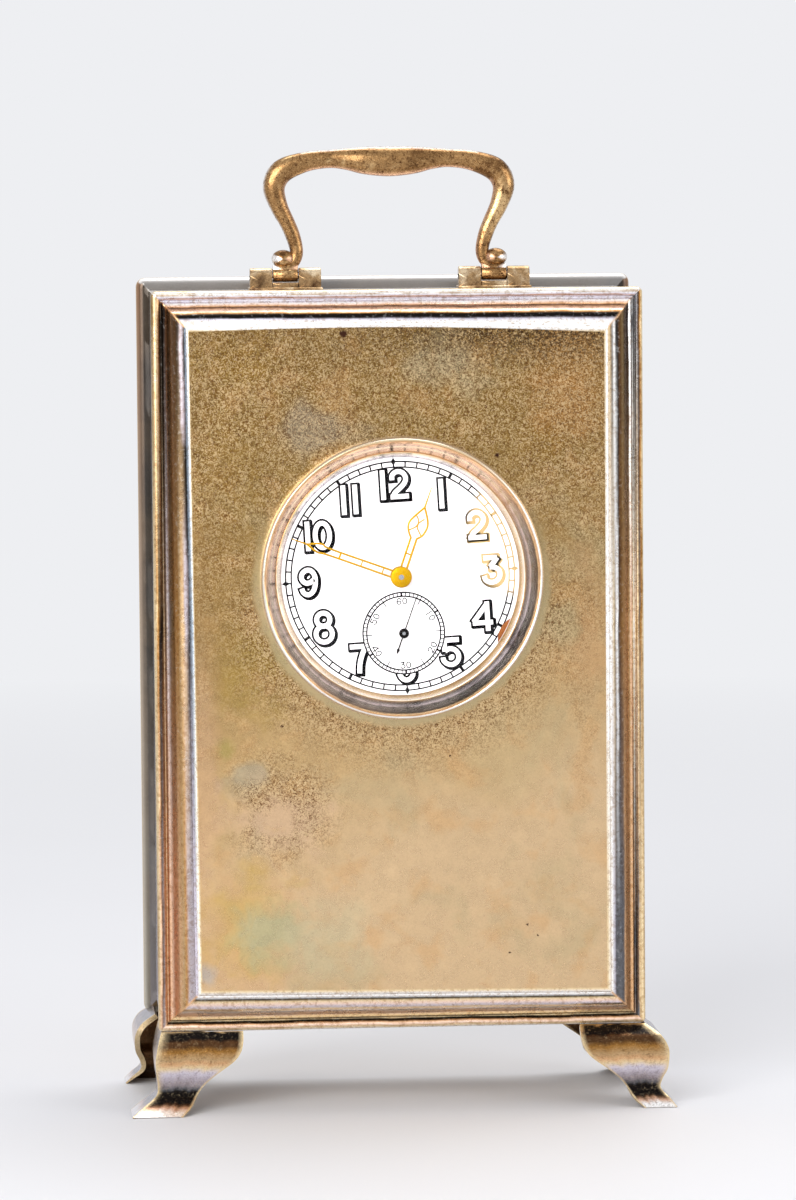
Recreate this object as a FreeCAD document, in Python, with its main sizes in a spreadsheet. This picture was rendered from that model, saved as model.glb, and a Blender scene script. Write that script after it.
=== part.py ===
"""Silver-cased table clock: case, dial, going train, hands, back door and handle.

Frame: X to the right, Y to the back, Z up, in millimetres. The origin lies on the table
under the middle of the clock. The movement is drawn from its centre, the minute arbor.
"""
import FreeCAD, Part
import math
import os

from FreeCAD import Placement, Rotation, Vector
import Sketcher

# Driving sizes
# Millimetres, unless the name ends in teeth, leaves, count, angle or share.
SIZES = {
    # Case
    "case_width": 83.4,
    "case_height": 126.0,
    "case_depth": 34.0,
    "case_wall": 1.0,
    "wall_inset": 0.8,
    "bead_radius": 0.8,
    "moulding_width": 6.85,
    "panel_rise": 4.5,
    "panel_sheet": 1.2,
    "rear_bead_rise": 1.4,
    "rear_bead_depth": 2.6,
    "rear_lip": 5.0,
    # Feet
    "foot_height": 13.9,
    "foot_wing": 13.8,
    "foot_sheet": 0.9,
    "foot_bulge": 1.2,
    "toe_splay": 4.8,
    "foot_lean_front_left": 0.0,
    "foot_lean_front_right": 2.4,
    "foot_lean_rear_left": 2.2,
    "foot_lean_rear_right": 1.2,
    "rear_foot_inset": 1.2,
    # Bezel, glass and dial
    "bezel_band": 2.5,
    "bezel_rise": 3.0,
    "dial_cover": 0.45,
    "bezel_sleeve": 0.9,
    "glass_seat": 0.3,
    "glass_thickness": 0.8,
    "glass_dome": 1.3,
    "glass_level": 0.6,
    "dial_drop": 3.0,
    "dial_thickness": 1.0,
    "dial_radius": 21.5,
    "dial_below_top": 48.5,
    "seconds_drop": 9.7,
    "dial_turn_angle": 3.0,
    "dial_hole": 1.7,
    "seconds_hole": 0.75,
    # Movement plates, and the ring that holds them
    "plate_radius": 20.4,
    "main_plate": 1.6,
    "back_plate": 1.2,
    "motion_gap": 2.2,
    "train_gap": 5.0,
    "ring_flange": 2.0,
    "clamp_land": 5.6,
    "clamp_seat": 3.35,
    "clamp_screw": 0.8,
    "clamp_reach": 2.0,
    "clamp_length": 7.0,
    "clamp_width": 4.0,
    "clamp_sheet": 0.8,
    "pillar_radius": 1.3,
    "pillar_circle": 18.4,
    "pillar_right_angle": 12.0,
    "pillar_top_angle": 140.0,
    "pillar_left_angle": 232.0,
    "pillar_low_angle": 300.0,
    "screw_head": 1.3,
    "screw_head_depth": 0.7,
    "screw_slot": 0.35,
    "screw_reach": 1.8,
    "pillar_screw": 0.6,
    "cock_screw": 0.8,
    "centre_tube": 0.85,
    "barrel_pivot": 0.9,
    "balance_window": 0.7,
    # Going train
    "barrel_teeth": 96,
    "barrel_module": 0.19,
    "centre_leaves": 12,
    "centre_teeth": 64,
    "centre_module": 0.22,
    "third_leaves": 8,
    "third_teeth": 60,
    "third_module": 0.2,
    "fourth_leaves": 8,
    "fourth_teeth": 60,
    "fourth_module": 0.18,
    "escape_leaves": 6,
    "escape_teeth": 15,
    "escape_radius": 2.9,
    "wheel_sheet": 0.45,
    "barrel_height": 3.0,
    "barrel_wall": 0.5,
    "barrel_arbor_radius": 1.5,
    "arbor_radius": 0.45,
    "pivot_radius": 0.28,
    "barrel_angle": 75.0,
    "escape_angle": 170.0,
    # Lever and balance
    "pallet_reach": 3.9,
    "fork_width": 0.5,
    "fork_slot": 0.55,
    "fork_end": 1.5,
    "roller_radius": 1.1,
    "staff_radius": 0.4,
    "impulse_pin": 0.18,
    "impulse_circle": 0.8,
    "impulse_reach": 0.15,
    "stone_length": 1.05,
    "stud_radius": 0.45,
    "jewel_radius": 0.9,
    "balance_radius": 5.5,
    "balance_rim": 0.75,
    "balance_arm_angle": 20.0,
    "balance_depth": 0.7,
    "balance_left": 13.0,
    "balance_drop": 1.0,
    "hairspring_turns": 5,
    "hairspring_radius": 3.4,
    "hairspring_sheet": 0.12,
    "hairspring_height": 0.3,
    "cock_depth": 1.0,
    "cock_lift": 0.8,
    "cock_length": 9.3,
    "cock_angle": 75.0,
    "cock_head": 2.2,
    "cock_foot": 3.1,
    "regulator_length": 5.4,
    "regulator_sheet": 0.35,
    # Motion work
    "cannon_leaves": 12,
    "cannon_module": 0.2,
    "minute_teeth": 36,
    "minute_leaves": 10,
    "hour_teeth": 40,
    "cannon_pipe": 0.78,
    "hour_pipe": 1.2,
    "minute_post": 0.35,
    "minute_wheel_angle": 150.0,
    # Hands
    "hour_hand": 15.9,
    "hour_leaf": 1.6,
    "minute_hand_clear": 1.8,
    "minute_leaf": 0.72,
    "hand_half": 0.5,
    "second_hand": 6.6,
    "second_tail": 3.6,
    "second_width": 0.2,
    "hand_sheet": 0.22,
    "hand_rail": 0.26,
    "hour_boss": 1.7,
    "minute_boss": 1.8,
    "second_boss": 0.84,
    "second_level": 0.4,
    "hour_level": 1.2,
    "minute_level": 2.0,
    "hour_hand_angle": 70.5,
    "minute_hand_angle": 160.0,
    "second_hand_angle": 70.5,
    # Winding and setting
    "click_length": 4.2,
    "click_width": 1.3,
    "click_angle": 200.0,
    "click_screw": 0.5,
    "click_wire": 0.35,
    "click_place_angle": 145.0,
    "ratchet_teeth": 24,
    "ratchet_radius": 4.0,
    "key_square": 1.5,
    "key_pipe": 1.7,
    "key_wing": 5.4,
    "key_wing_height": 5.0,
    "key_wing_sheet": 1.3,
    "key_reach": 9.0,
    "knob_radius": 3.6,
    "knob_depth": 2.4,
    "knob_reach": 6.5,
    # Back door
    "door_sheet": 1.0,
    "door_gap": 0.3,
    "door_recess": 0.2,
    "knuckle_radius": 1.2,
    "knuckle_pin": 0.5,
    "knuckle_length": 9.0,
    "hinge_spacing": 76.0,
    "strap_reach": 5.0,
    "strap_sheet": 0.8,
    "pull_radius": 2.2,
    "pull_stem": 1.0,
    "pull_reach": 3.0,
    "pull_inset": 5.0,
    # Handle and its lugs
    "handle_half": 19.75,
    "handle_rise": 19.75,
    "handle_seat": 17.95,
    "handle_belly": 2.56,
    "scroll_radius": 1.38,
    "scroll_out": 0.45,
    "scroll_up": 2.6,
    "tab_width": 4.3,
    "tab_sheet": 1.5,
    "lug_width": 12.6,
    "lug_depth": 5.0,
    "lug_base": 0.8,
    "lug_lift": 0.8,
    "lug_step": 0.6,
    "lug_knuckle": 1.2,
    "lug_pin": 0.55,
    # Fits
    "running_fit": 0.04,
    "side_fit": 0.12,
    "seat_fit": 0.03,
    "overrun": 2.0,
}

# Places worked out from the driving sizes, as sheet formulas
PLACES = {
    "depth_all": "=Size.bezel_rise + Size.panel_rise + Size.case_depth"
                 " - Size.rear_foot_inset + Size.toe_splay",
    "front": "=Size.bezel_rise + Size.panel_rise - depth_all / 2",
    "back": "=front + Size.case_depth",
    "panel_front": "=front - Size.panel_rise",
    "panel_back": "=panel_front + Size.panel_sheet",
    "base": "=Size.foot_height",
    "top": "=base + Size.case_height",
    "middle": "=base + Size.case_height / 2",
    "centre": "=top - Size.dial_below_top",
    "wall_half": "=Size.case_width / 2 - Size.wall_inset",
    "wall_front": "=front + 2 * Size.bead_radius",
    "dial_face": "=panel_front + Size.dial_drop",
    "dial_back": "=dial_face + Size.dial_thickness",
    "plate_front": "=dial_back + Size.motion_gap",
    "train_front": "=plate_front + Size.main_plate",
    "train_back": "=train_front + Size.train_gap",
    "plate_back": "=train_back + Size.back_plate",
    "cock_front": "=plate_back + Size.cock_lift",
    "cock_back": "=cock_front + Size.cock_depth",
    "door_front": "=back - Size.door_recess - Size.door_sheet",
    "door_half": "=Size.case_width / 2 - Size.rear_lip",
    "door_tall_half": "=Size.case_height / 2 - Size.rear_lip",
    "hinge_x": "=door_half + Size.knuckle_radius / 2",
    "hinge_y": "=back + Size.knuckle_radius + Size.side_fit",
    "strap_back": "=back + Size.side_fit + Size.strap_sheet",
    "bezel_radius": "=Size.dial_radius + Size.bezel_band",
    "bezel_opening": "=Size.dial_radius - Size.dial_cover",
    "ring_out": "=max(bezel_radius + Size.ring_flange; Size.plate_radius + Size.clamp_land)",
    "clamp_x": "=Size.plate_radius + Size.clamp_seat",
    "minute_hand_length": "=Size.dial_radius - Size.minute_hand_clear",
    "lug_foot": "=top - Size.wall_inset",
    "lug_z": "=lug_foot + Size.lug_base + Size.lug_lift + Size.lug_knuckle + Size.side_fit",
    "lug_y": "=(front + back) / 2",
}

doc = FreeCAD.newDocument("TableClock")


def fill(sheet, cells):
    """Write each name and its value or formula into a row of a sheet."""
    for row, (name, value) in enumerate(cells.items(), start=1):
        sheet.set(f"A{row}", name)
        sheet.set(f"B{row}", str(value))
        sheet.setAlias(f"B{row}", name)


size_sheet = doc.addObject("Spreadsheet::Sheet", "Size")
fill(size_sheet, SIZES)
doc.recompute()
place_sheet = doc.addObject("Spreadsheet::Sheet", "Place")
fill(place_sheet, PLACES)
doc.recompute()

NODES = []
ALONG_Y = Rotation(Vector(1, 0, 0), -90)
ALONG_X = Rotation(Vector(0, 1, 0), 90)
FACING_FRONT = Rotation(Vector(1, 0, 0), 180)


def mm(name):
    """A driving size, read from the sheet."""
    return float(size_sheet.get(name))


def at(name):
    """A worked-out place, read from the sheet."""
    return float(place_sheet.get(name))


def keep(piece, node):
    """Name a finished sub-part and list it for export."""
    piece.Label = node
    NODES.append(piece)
    return piece


def bind(piece, **sizes):
    """Tie properties of an object to the sheets."""
    for name, text in sizes.items():
        piece.setExpression(name, text)
    return piece


def put(piece, x="0", y="0", z="0", turn=None):
    """Place an object, its position tied to the sheets."""
    piece.Placement = Placement(Vector(0, 0, 0), turn or Rotation())
    for axis, text in zip("xyz", (x, y, z)):
        piece.setExpression(f"Placement.Base.{axis}", text)
    return piece


def block(name, dx, dy, dz, x, y, z):
    """A box from its lowest corner."""
    piece = doc.addObject("Part::Box", name)
    bind(piece, Length=dx, Width=dy, Height=dz)
    return put(piece, x, y, z)


def rod(name, radius, length, x, y, z, turn=ALONG_Y):
    """A round bar that starts at a point and runs to the back, or along a given turn."""
    piece = doc.addObject("Part::Cylinder", name)
    bind(piece, Radius=radius, Height=length)
    return put(piece, x, y, z, turn)


def fused(name, *pieces):
    """Several objects joined into one solid."""
    piece = doc.addObject("Part::MultiFuse", name)
    piece.Shapes = list(pieces)
    return piece


def cut(name, base, *tools):
    """An object with others taken out of it."""
    piece = doc.addObject("Part::Cut", name)
    piece.Base = base
    piece.Tool = tools[0] if len(tools) == 1 else fused(name + "_tools", *tools)
    return piece


def outline_sketch(body, name, plane, points):
    """A closed outline of straight lines, each corner tied to the sheets."""
    sketch = body.newObject("Sketcher::SketchObject", name)
    origin = [f for f in body.Origin.OriginFeatures if f.Role == plane][0]
    sketch.AttachmentSupport = [(origin, "")]
    sketch.MapMode = "FlatFace"
    count = len(points)
    start = [
        Vector(math.cos(math.tau * k / count), math.sin(math.tau * k / count), 0)
        for k in range(count)
    ]
    for k in range(count):
        sketch.addGeometry(Part.LineSegment(start[k], start[(k + 1) % count]), False)
    for k in range(count):
        sketch.addConstraint(Sketcher.Constraint("Coincident", k, 2, (k + 1) % count, 1))
    for k, corner in enumerate(points):
        for way, text in zip(("DistanceX", "DistanceY"), corner):
            row = sketch.addConstraint(Sketcher.Constraint(way, k, 1, 1.0))
            sketch.setExpression(f"Constraints[{row}]", text)
    return sketch


def turned(name, points, x, y, z):
    """A turned body: radius and distance forward of y, about an axis along Y."""
    body = doc.addObject("PartDesign::Body", name)
    sketch = outline_sketch(body, name + "_outline", "XY_Plane", points)
    spin = body.newObject("PartDesign::Revolution", name + "_turn")
    spin.Profile = sketch
    spin.ReferenceAxis = (sketch, ["V_Axis"])
    spin.Angle = 360
    return put(body, x, y, z, FACING_FRONT)


def feature(name, shape, x=0.0, y=0.0, z=0.0):
    """A solid that Part's own functions made, placed after its shape is set."""
    piece = doc.addObject("Part::Feature", name)
    piece.Shape = shape
    piece.Placement = Placement(Vector(x, y, z), Rotation()).multiply(shape.Placement)
    return piece


def polar(radius, angle):
    """A point in the front view, its angle in degrees from the right, anticlockwise."""
    turn = math.radians(angle)
    return Vector(radius * math.cos(turn), 0, radius * math.sin(turn))


def prism(points, y, depth, holes=()):
    """A plate from corners in the front view, its front at y, with corner lists as holes."""
    lift = Vector(0, y, 0)
    wires = [Part.makePolygon([p + lift for p in ring + ring[:1]]) for ring in (points, *holes)]
    faces = [Part.Face(wire) for wire in wires]
    plate = faces[0].extrude(Vector(0, depth, 0))
    for face in faces[1:]:
        plate = plate.cut(face.extrude(Vector(0, depth, 0)))
    return plate


def disc(radius, y, depth, x=0.0, z=0.0):
    """A round plate with its front at y."""
    return Part.makeCylinder(radius, depth, Vector(x, y, z), Vector(0, 1, 0))


def bore(radius, y, depth, x=0.0, z=0.0):
    """A round cutter from front to back that overruns both faces of a plate."""
    return disc(radius, y - mm("overrun"), depth + 2 * mm("overrun"), x, z)


def section(points):
    """A section across a frame: corners (inward, back) or three-point arcs through a middle."""
    edges = []
    start = points[0]
    for step in points[1:] + points[:1]:
        through, end = step if isinstance(step[0], tuple) else (None, step)
        a = Vector(0, start[1], start[0])
        b = Vector(0, end[1], end[0])
        if through is None:
            edges.append(Part.makeLine(a, b))
        else:
            edges.append(Part.Arc(a, Vector(0, through[1], through[0]), b).toShape())
        start = end
    return Part.Face(Part.Wire(edges))


def mitred_frame(face, half_width, half_height):
    """A section carried round a rectangle in the front view, with mitred corners."""
    reach = mm("moulding_width") + mm("case_depth")
    sides = []
    for turn, half_length, half_reach in (
        (0, half_width, half_height),
        (90, half_height, half_width),
        (180, half_width, half_height),
        (270, half_height, half_width),
    ):
        low = half_length + reach
        bar = face.copy()
        bar.translate(Vector(-low, 0, -half_reach))
        bar = bar.extrude(Vector(2 * low, 0, 0))
        wedge = prism(
            [
                Vector(-low, 0, -half_reach - reach),
                Vector(low, 0, -half_reach - reach),
                Vector(half_length - half_reach, 0, 0),
                Vector(half_reach - half_length, 0, 0),
            ]
            if half_length > half_reach
            else [
                Vector(-low, 0, -half_reach - reach),
                Vector(low, 0, -half_reach - reach),
                Vector(0, 0, half_length - half_reach),
            ],
            -reach,
            3 * reach,
        )
        bar = bar.common(wedge)
        bar.rotate(Vector(0, 0, 0), Vector(0, 1, 0), turn)
        sides.append(bar)
    return sides[0].fuse(sides[1:]).removeSplitter()


# Case front
# A rounded bead, a groove, a hollow moulding and the raised flat panel with its round opening.

# The moulding inside the bead, as shares of its width and of the panel's rise, and its back.
COVE_SHARES = (
    (0.36, 0.02), (0.45, -0.22), (0.58, -0.62), (0.80, -0.74), (0.84, -0.74),
    (0.84, -0.84), (0.90, -0.84), (0.93, -0.97), (1.00, -1.00),
)
COVE_BACK_SHARES = ((0.72, -0.39), (0.50, 0.23))
GROOVE_SHARE = 0.26
BACK_SHARE = 0.30


def case_front():
    """The pressed and mitred front, from its outer bead to the raised panel."""
    bead = mm("bead_radius")
    width = mm("moulding_width")
    rise = mm("panel_rise")
    sheet = mm("panel_sheet")
    cove = [(across * width, up * rise) for across, up in COVE_SHARES]
    back = [(across * width, up * rise) for across, up in COVE_BACK_SHARES]
    face = section([
        (0, bead),
        ((bead, 0), (2 * bead, bead)),
        (GROOVE_SHARE * width, bead),
        (cove[0], cove[1]),
        (cove[2], cove[3]),
        cove[4],
        cove[5],
        cove[6],
        (cove[7], cove[8]),
        (width, sheet - rise),
        back[0],
        back[1],
        (BACK_SHARE * width, 2 * bead),
        (0, 2 * bead),
    ])
    half_width = mm("case_width") / 2
    half_height = mm("case_height") / 2
    ring = mitred_frame(face, half_width, half_height)
    plate = Part.makeBox(
        2 * (half_width - width), sheet, 2 * (half_height - width),
        Vector(width - half_width, -rise, width - half_height),
    )
    opening = bore(at("bezel_radius") - mm("bezel_sleeve"), -rise, sheet, 0, at("centre") - at("middle"))
    return ring.fuse(plate).removeSplitter().cut(opening)


keep(feature("front", case_front(), 0, at("front"), at("middle")), "case_front")

# Case body
# Four flat walls behind the front, and a beaded rim at the back that carries the door.

def rear_rim():
    """The rounded rim round the back, with a lip that narrows it to the door opening."""
    depth = mm("rear_bead_depth")
    radius = depth / 2
    lip = mm("rear_bead_rise") + mm("rear_lip")
    inner_wall = mm("rear_bead_rise") + mm("wall_inset") + mm("case_wall")
    sheet = mm("door_sheet") + mm("door_recess")
    face = section([
        (radius, -depth),
        ((0, -radius), (radius, 0)),
        (lip, 0),
        (lip, -sheet),
        (inner_wall, -sheet),
        (inner_wall, -depth),
    ])
    rise = mm("rear_bead_rise")
    return mitred_frame(face, mm("case_width") / 2 + rise, mm("case_height") / 2 + rise)


walls_outer = block(
    "walls_outer", "2 * Place.wall_half", "Place.back - Size.rear_bead_depth - Place.wall_front",
    "Size.case_height - 2 * Size.wall_inset",
    "-Place.wall_half", "Place.wall_front", "Place.base + Size.wall_inset",
)
walls_inner = block(
    "walls_inner", "2 * (Place.wall_half - Size.case_wall)", "Size.case_depth",
    "Size.case_height - 2 * (Size.wall_inset + Size.case_wall)",
    "Size.case_wall - Place.wall_half", "Place.wall_front - Size.overrun",
    "Place.base + Size.wall_inset + Size.case_wall",
)
rim = feature("rim", rear_rim(), 0, at("back"), at("middle"))
keep(fused("body", cut("walls", walls_outer, walls_inner), rim), "case_body")

# Feet
# Bracket feet of bent sheet: two mitred wings, each bulging out, drawing in and kicking out
# to a pointed toe. A row holds shares of height, toe, bulge, lean and wing length, from the top.
FOOT_SHARES = (
    (1.00, 0.00, 0.00, 0.10, 1.00),
    (0.88, 0.00, 0.55, 0.70, 1.00),
    (0.75, 0.00, 0.92, 1.00, 0.96),
    (0.63, 0.00, 1.00, 1.00, 0.87),
    (0.47, 0.02, 0.80, 0.95, 0.68),
    (0.34, 0.06, 0.45, 0.75, 0.54),
    (0.22, 0.16, 0.20, 0.55, 0.44),
    (0.10, 0.50, 0.05, 0.30, 0.36),
    (0.00, 1.00, 0.00, 0.00, 0.20),
)


TOE_SHARE = 0.7


def smooth(points):
    """An edge that runs smoothly through points."""
    curve = Part.BSplineCurve()
    curve.interpolate(points)
    return curve.toShape()


def foot(lean):
    """A foot at a corner, its wings to the right and to the back, its toe out to the left front."""
    sheet = mm("foot_sheet")
    low = sheet * TOE_SHARE
    tall = mm("foot_height") - low
    outer = [
        Vector(0, -toe * mm("toe_splay") - out * mm("foot_bulge") - tilt * lean, low + up * tall)
        for up, toe, out, tilt, wing in FOOT_SHARES
    ]
    inner = []
    for k, point in enumerate(outer):
        before = outer[max(k - 1, 0)]
        after = outer[min(k + 1, len(outer) - 1)]
        run = (after - before).normalize()
        inner.append(point + Vector(0, -run.z, run.y) * sheet)
    inner[0].z = outer[0].z
    face = Part.Face(Part.Wire([
        smooth(outer), Part.makeLine(outer[-1], inner[-1]),
        smooth(inner[::-1]), Part.makeLine(inner[0], outer[0]),
    ]))
    reach = mm("foot_wing") + mm("toe_splay")
    face.translate(Vector(-reach, 0, 0))
    wing = face.extrude(Vector(2 * reach, 0, 0))
    edge = [
        Vector(share * mm("foot_wing") - tilt * lean, -reach, low + up * tall)
        for up, toe, out, tilt, share in FOOT_SHARES
    ]
    corners = (Vector(-reach, -reach, 0), Vector(-reach, -reach, edge[0].z))
    toe_end = Vector(edge[-1].x, -reach, 0)
    outline = Part.Face(Part.Wire([
        smooth(edge), Part.makeLine(edge[-1], toe_end), Part.makeLine(toe_end, corners[0]),
        Part.makeLine(*corners), Part.makeLine(corners[1], edge[0]),
    ])).extrude(Vector(0, 2 * reach, 0))
    mitre = Part.Face(Part.makePolygon([
        Vector(-reach, -reach, 0), Vector(reach, -reach, 0), Vector(reach, reach, 0),
        Vector(-reach, -reach, 0),
    ])).extrude(Vector(0, 0, 2 * reach))
    front = wing.common(outline).common(mitre)
    side = front.mirror(Vector(0, 0, 0), Vector(1, -1, 0))
    return front.fuse(side).removeSplitter()


for label, side, end in (
    ("front_left", -1, -1), ("front_right", 1, -1), ("rear_left", -1, 1), ("rear_right", 1, 1),
):
    shape = foot(mm("foot_lean_" + label))
    if side > 0:
        shape = shape.mirror(Vector(0, 0, 0), Vector(1, 0, 0))
    if end > 0:
        shape = shape.mirror(Vector(0, 0, 0), Vector(0, 1, 0))
    corner_y = at("front") if end < 0 else at("back") - mm("rear_foot_inset")
    if end > 0:
        rim_front = mm("rear_foot_inset") - mm("rear_bead_depth") - mm("seat_fit")
        shape = shape.cut(Part.makeBox(
            2 * mm("case_width"), mm("case_depth"), mm("foot_height"),
            Vector(-mm("case_width"), rim_front, mm("foot_height") - mm("rear_bead_rise")),
        ))
    keep(feature("foot_" + label, shape, side * mm("case_width") / 2, corner_y), "foot_" + label)

# Bezel, glass and dial

def ring_section(points):
    """A turned solid from corners (radius, back) or arcs through a middle, about the dial axis."""
    edges = []
    start = points[0]
    for step in points[1:] + points[:1]:
        through, end = step if isinstance(step[0], tuple) else (None, step)
        a = Vector(start[0], start[1], 0)
        b = Vector(end[0], end[1], 0)
        if through is None and a != b:
            edges.append(Part.makeLine(a, b))
        elif through is None:
            continue
        else:
            edges.append(Part.Arc(a, Vector(through[0], through[1], 0), b).toShape())
        start = end
    face = Part.Face(Part.Wire(edges))
    return face.revolve(Vector(0, 0, 0), Vector(0, 1, 0), 360)


BEZEL_SHARES = {"outer": 0.35, "inner": 0.15}


def bezel():
    """A rounded rim on the panel, a slope down to the glass, and a sleeve to the dial."""
    outer = at("bezel_radius")
    rise = mm("bezel_rise")
    sleeve = outer - mm("bezel_sleeve") - mm("seat_fit")
    bore = at("bezel_opening")
    seat = mm("glass_seat")
    glass = bore + seat
    level = -mm("glass_level")
    round_out = BEZEL_SHARES["outer"] * rise
    round_in = BEZEL_SHARES["inner"] * rise
    crest = outer - round_out
    slant = math.sqrt(0.5)
    return ring_section([
        (outer, 0),
        (outer, round_out - rise),
        ((crest + slant * round_out, round_out - rise - slant * round_out), (crest, -rise)),
        ((crest - slant * round_in, round_in - rise - slant * round_in),
         (crest - round_in, round_in - rise)),
        (glass + mm("seat_fit"), level - mm("glass_thickness")),
        (glass + mm("seat_fit"), level),
        (bore, level),
        (bore, mm("dial_drop") - mm("side_fit")),
        (sleeve, mm("dial_drop") - mm("side_fit")),
        (sleeve, 0),
    ])


def glass():
    """A shallow domed glass of even thickness, snapped into the bezel."""
    radius = at("bezel_opening") + mm("glass_seat")
    level = -mm("glass_level")
    thick = mm("glass_thickness")
    dome = mm("glass_dome")
    ball = (radius ** 2 + dome ** 2) / (2 * dome)
    caps = []
    for rim in (level - thick, level):
        cap = Part.makeSphere(ball, Vector(0, rim - dome + ball, 0))
        caps.append(cap.common(disc(radius, rim - dome, dome)))
    return disc(radius, level - thick, thick).fuse(caps[0]).removeSplitter().cut(caps[1])


def dial():
    """An enamelled copper disc with holes for the hands."""
    thick = mm("dial_thickness")
    face = disc(mm("dial_radius"), 0, thick)
    return face.cut([
        bore(mm("dial_hole"), 0, thick), bore(mm("seconds_hole"), 0, thick, FOURTH.x, FOURTH.z),
    ])


FOURTH = polar(mm("seconds_drop"), mm("dial_turn_angle") - 90)


keep(feature("bezel_turned", bezel(), 0, at("panel_front"), at("centre")), "bezel")
keep(feature("glass_turned", glass(), 0, at("panel_front"), at("centre")), "crystal")
keep(feature("dial_disc", dial(), 0, at("dial_face"), at("centre")), "dial")

# Movement ring
# A cup soldered behind the panel. The bezel's sleeve, the dial and the main plate sit in its steps.
RING_OUT = "Place.ring_out"
RING_BACK = "Place.panel_back - Place.train_front"
DIAL_STEP = "Place.panel_back - Place.dial_back"
FACE_STEP = "Place.panel_back - Place.dial_face"
ring_body = turned(
    "ring_turned",
    [
        ("Place.bezel_radius - Size.bezel_sleeve", "0"),
        (RING_OUT, "0"),
        (RING_OUT, RING_BACK),
        ("Size.plate_radius + Size.seat_fit", RING_BACK),
        ("Size.plate_radius + Size.seat_fit", DIAL_STEP),
        ("Size.dial_radius + Size.side_fit", DIAL_STEP),
        ("Size.dial_radius + Size.side_fit", FACE_STEP),
        ("Place.bezel_radius - Size.bezel_sleeve", FACE_STEP),
    ],
    "0", "Place.panel_back", "Place.centre",
)
clamp_bores = [
    rod(
        f"clamp_bore_{k}", "Size.clamp_screw + Size.seat_fit", "Size.screw_reach + Size.side_fit",
        f"{side} * Place.clamp_x", "Place.train_front - Size.screw_reach - Size.side_fit", "Place.centre",
    )
    for k, side in enumerate((-1, 1))
]
keep(cut("ring", ring_body, *clamp_bores), "movement_ring")


def screws(places, y, length, radius):
    """Slotted screws with their heads to the back, one solid each."""
    head = mm("screw_head")
    deep = mm("screw_head_depth")
    slot = mm("screw_slot")
    solids = []
    for place in places:
        screw = disc(radius, y - length, length, place.x, place.z)
        screw = screw.fuse(disc(head, y, deep, place.x, place.z)).removeSplitter()
        groove = Part.makeBox(
            4 * head, deep, slot, Vector(place.x - 2 * head, y + deep / 2, place.z - slot / 2),
        )
        solids.append(screw.cut(groove))
    return Part.makeCompound(solids)


def drilled(shape, places, radius, y, depth):
    """A shape with round holes from front to back at some places."""
    holes = [bore(radius, y, depth, place.x, place.z) for place in places]
    return shape.cut(holes)


# Movement plates
CENTRE = Vector(0, 0, 0)


def meeting(first, second, first_reach, second_reach, side):
    """The place that lies at two given distances from two others, on one side of them."""
    gap = (second - first).Length
    along = (first_reach ** 2 - second_reach ** 2 + gap ** 2) / (2 * gap)
    across = math.sqrt(first_reach ** 2 - along ** 2)
    line = (second - first).normalize()
    return first + line * along + Vector(-line.z, 0, line.x) * across * side


THIRD = meeting(
    CENTRE, FOURTH,
    mm("centre_module") * (mm("centre_teeth") + mm("third_leaves")) / 2,
    mm("third_module") * (mm("third_teeth") + mm("fourth_leaves")) / 2, 1,
)
ESCAPE = FOURTH + polar(
    mm("fourth_module") * (mm("fourth_teeth") + mm("escape_leaves")) / 2, mm("escape_angle"),
)
BARREL = polar(
    mm("barrel_module") * (mm("barrel_teeth") + mm("centre_leaves")) / 2, mm("barrel_angle"),
)
BALANCE = Vector(-mm("balance_left"), 0, -mm("balance_drop"))
PALLET = ESCAPE + (BALANCE - ESCAPE).normalize() * mm("pallet_reach")
COCK_FOOT = BALANCE + polar(mm("cock_length"), mm("cock_angle"))
MOTION_REACH = mm("cannon_module") * (mm("cannon_leaves") + mm("minute_teeth")) / 2
MINUTE_WHEEL = polar(MOTION_REACH, mm("minute_wheel_angle"))
CLICK_TIP_RADIUS = mm("click_width") / 3
CLICK_TIP = BARREL + polar(
    mm("ratchet_radius") + CLICK_TIP_RADIUS + mm("side_fit"), mm("click_place_angle"),
)
CLICK = CLICK_TIP + polar(mm("click_length"), mm("click_angle"))
PILLARS = [
    polar(mm("pillar_circle"), mm(f"pillar_{side}_angle")) for side in ("right", "top", "left", "low")
]
# Levels are shares of the gap, forward of the main plate: near face, far face.
MOTION_SHARES = {
    "cannon": (0.09, 0.41),
    "minute_wheel": (0.14, 0.32),
    "minute_pinion": (0.32, 0.77),
    "hour_wheel": (0.50, 0.68),
    "post": (0.00, 0.86),
}
PIVOT_HOLE = mm("pivot_radius") + mm("running_fit")
CENTRE_HOLE = mm("centre_tube") + mm("running_fit")
SMALL_PIVOTS = (THIRD, FOURTH, ESCAPE, PALLET)
TRAIN = (at("train_front"), at("train_back"))


def main_plate():
    """The front plate, which the dial, the train and the motion work stand on."""
    thick = mm("main_plate")
    plate = disc(mm("plate_radius"), 0, thick)
    plate = drilled(plate, SMALL_PIVOTS + (BALANCE,), PIVOT_HOLE, 0, thick)
    plate = drilled(plate, [CENTRE], CENTRE_HOLE, 0, thick)
    plate = drilled(plate, [BARREL], mm("barrel_pivot") + mm("running_fit"), 0, thick)
    post = mm("motion_gap") * MOTION_SHARES["post"][1]
    return plate.fuse(disc(mm("minute_post"), -post, post + thick / 2, MINUTE_WHEEL.x, MINUTE_WHEEL.z))


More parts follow.
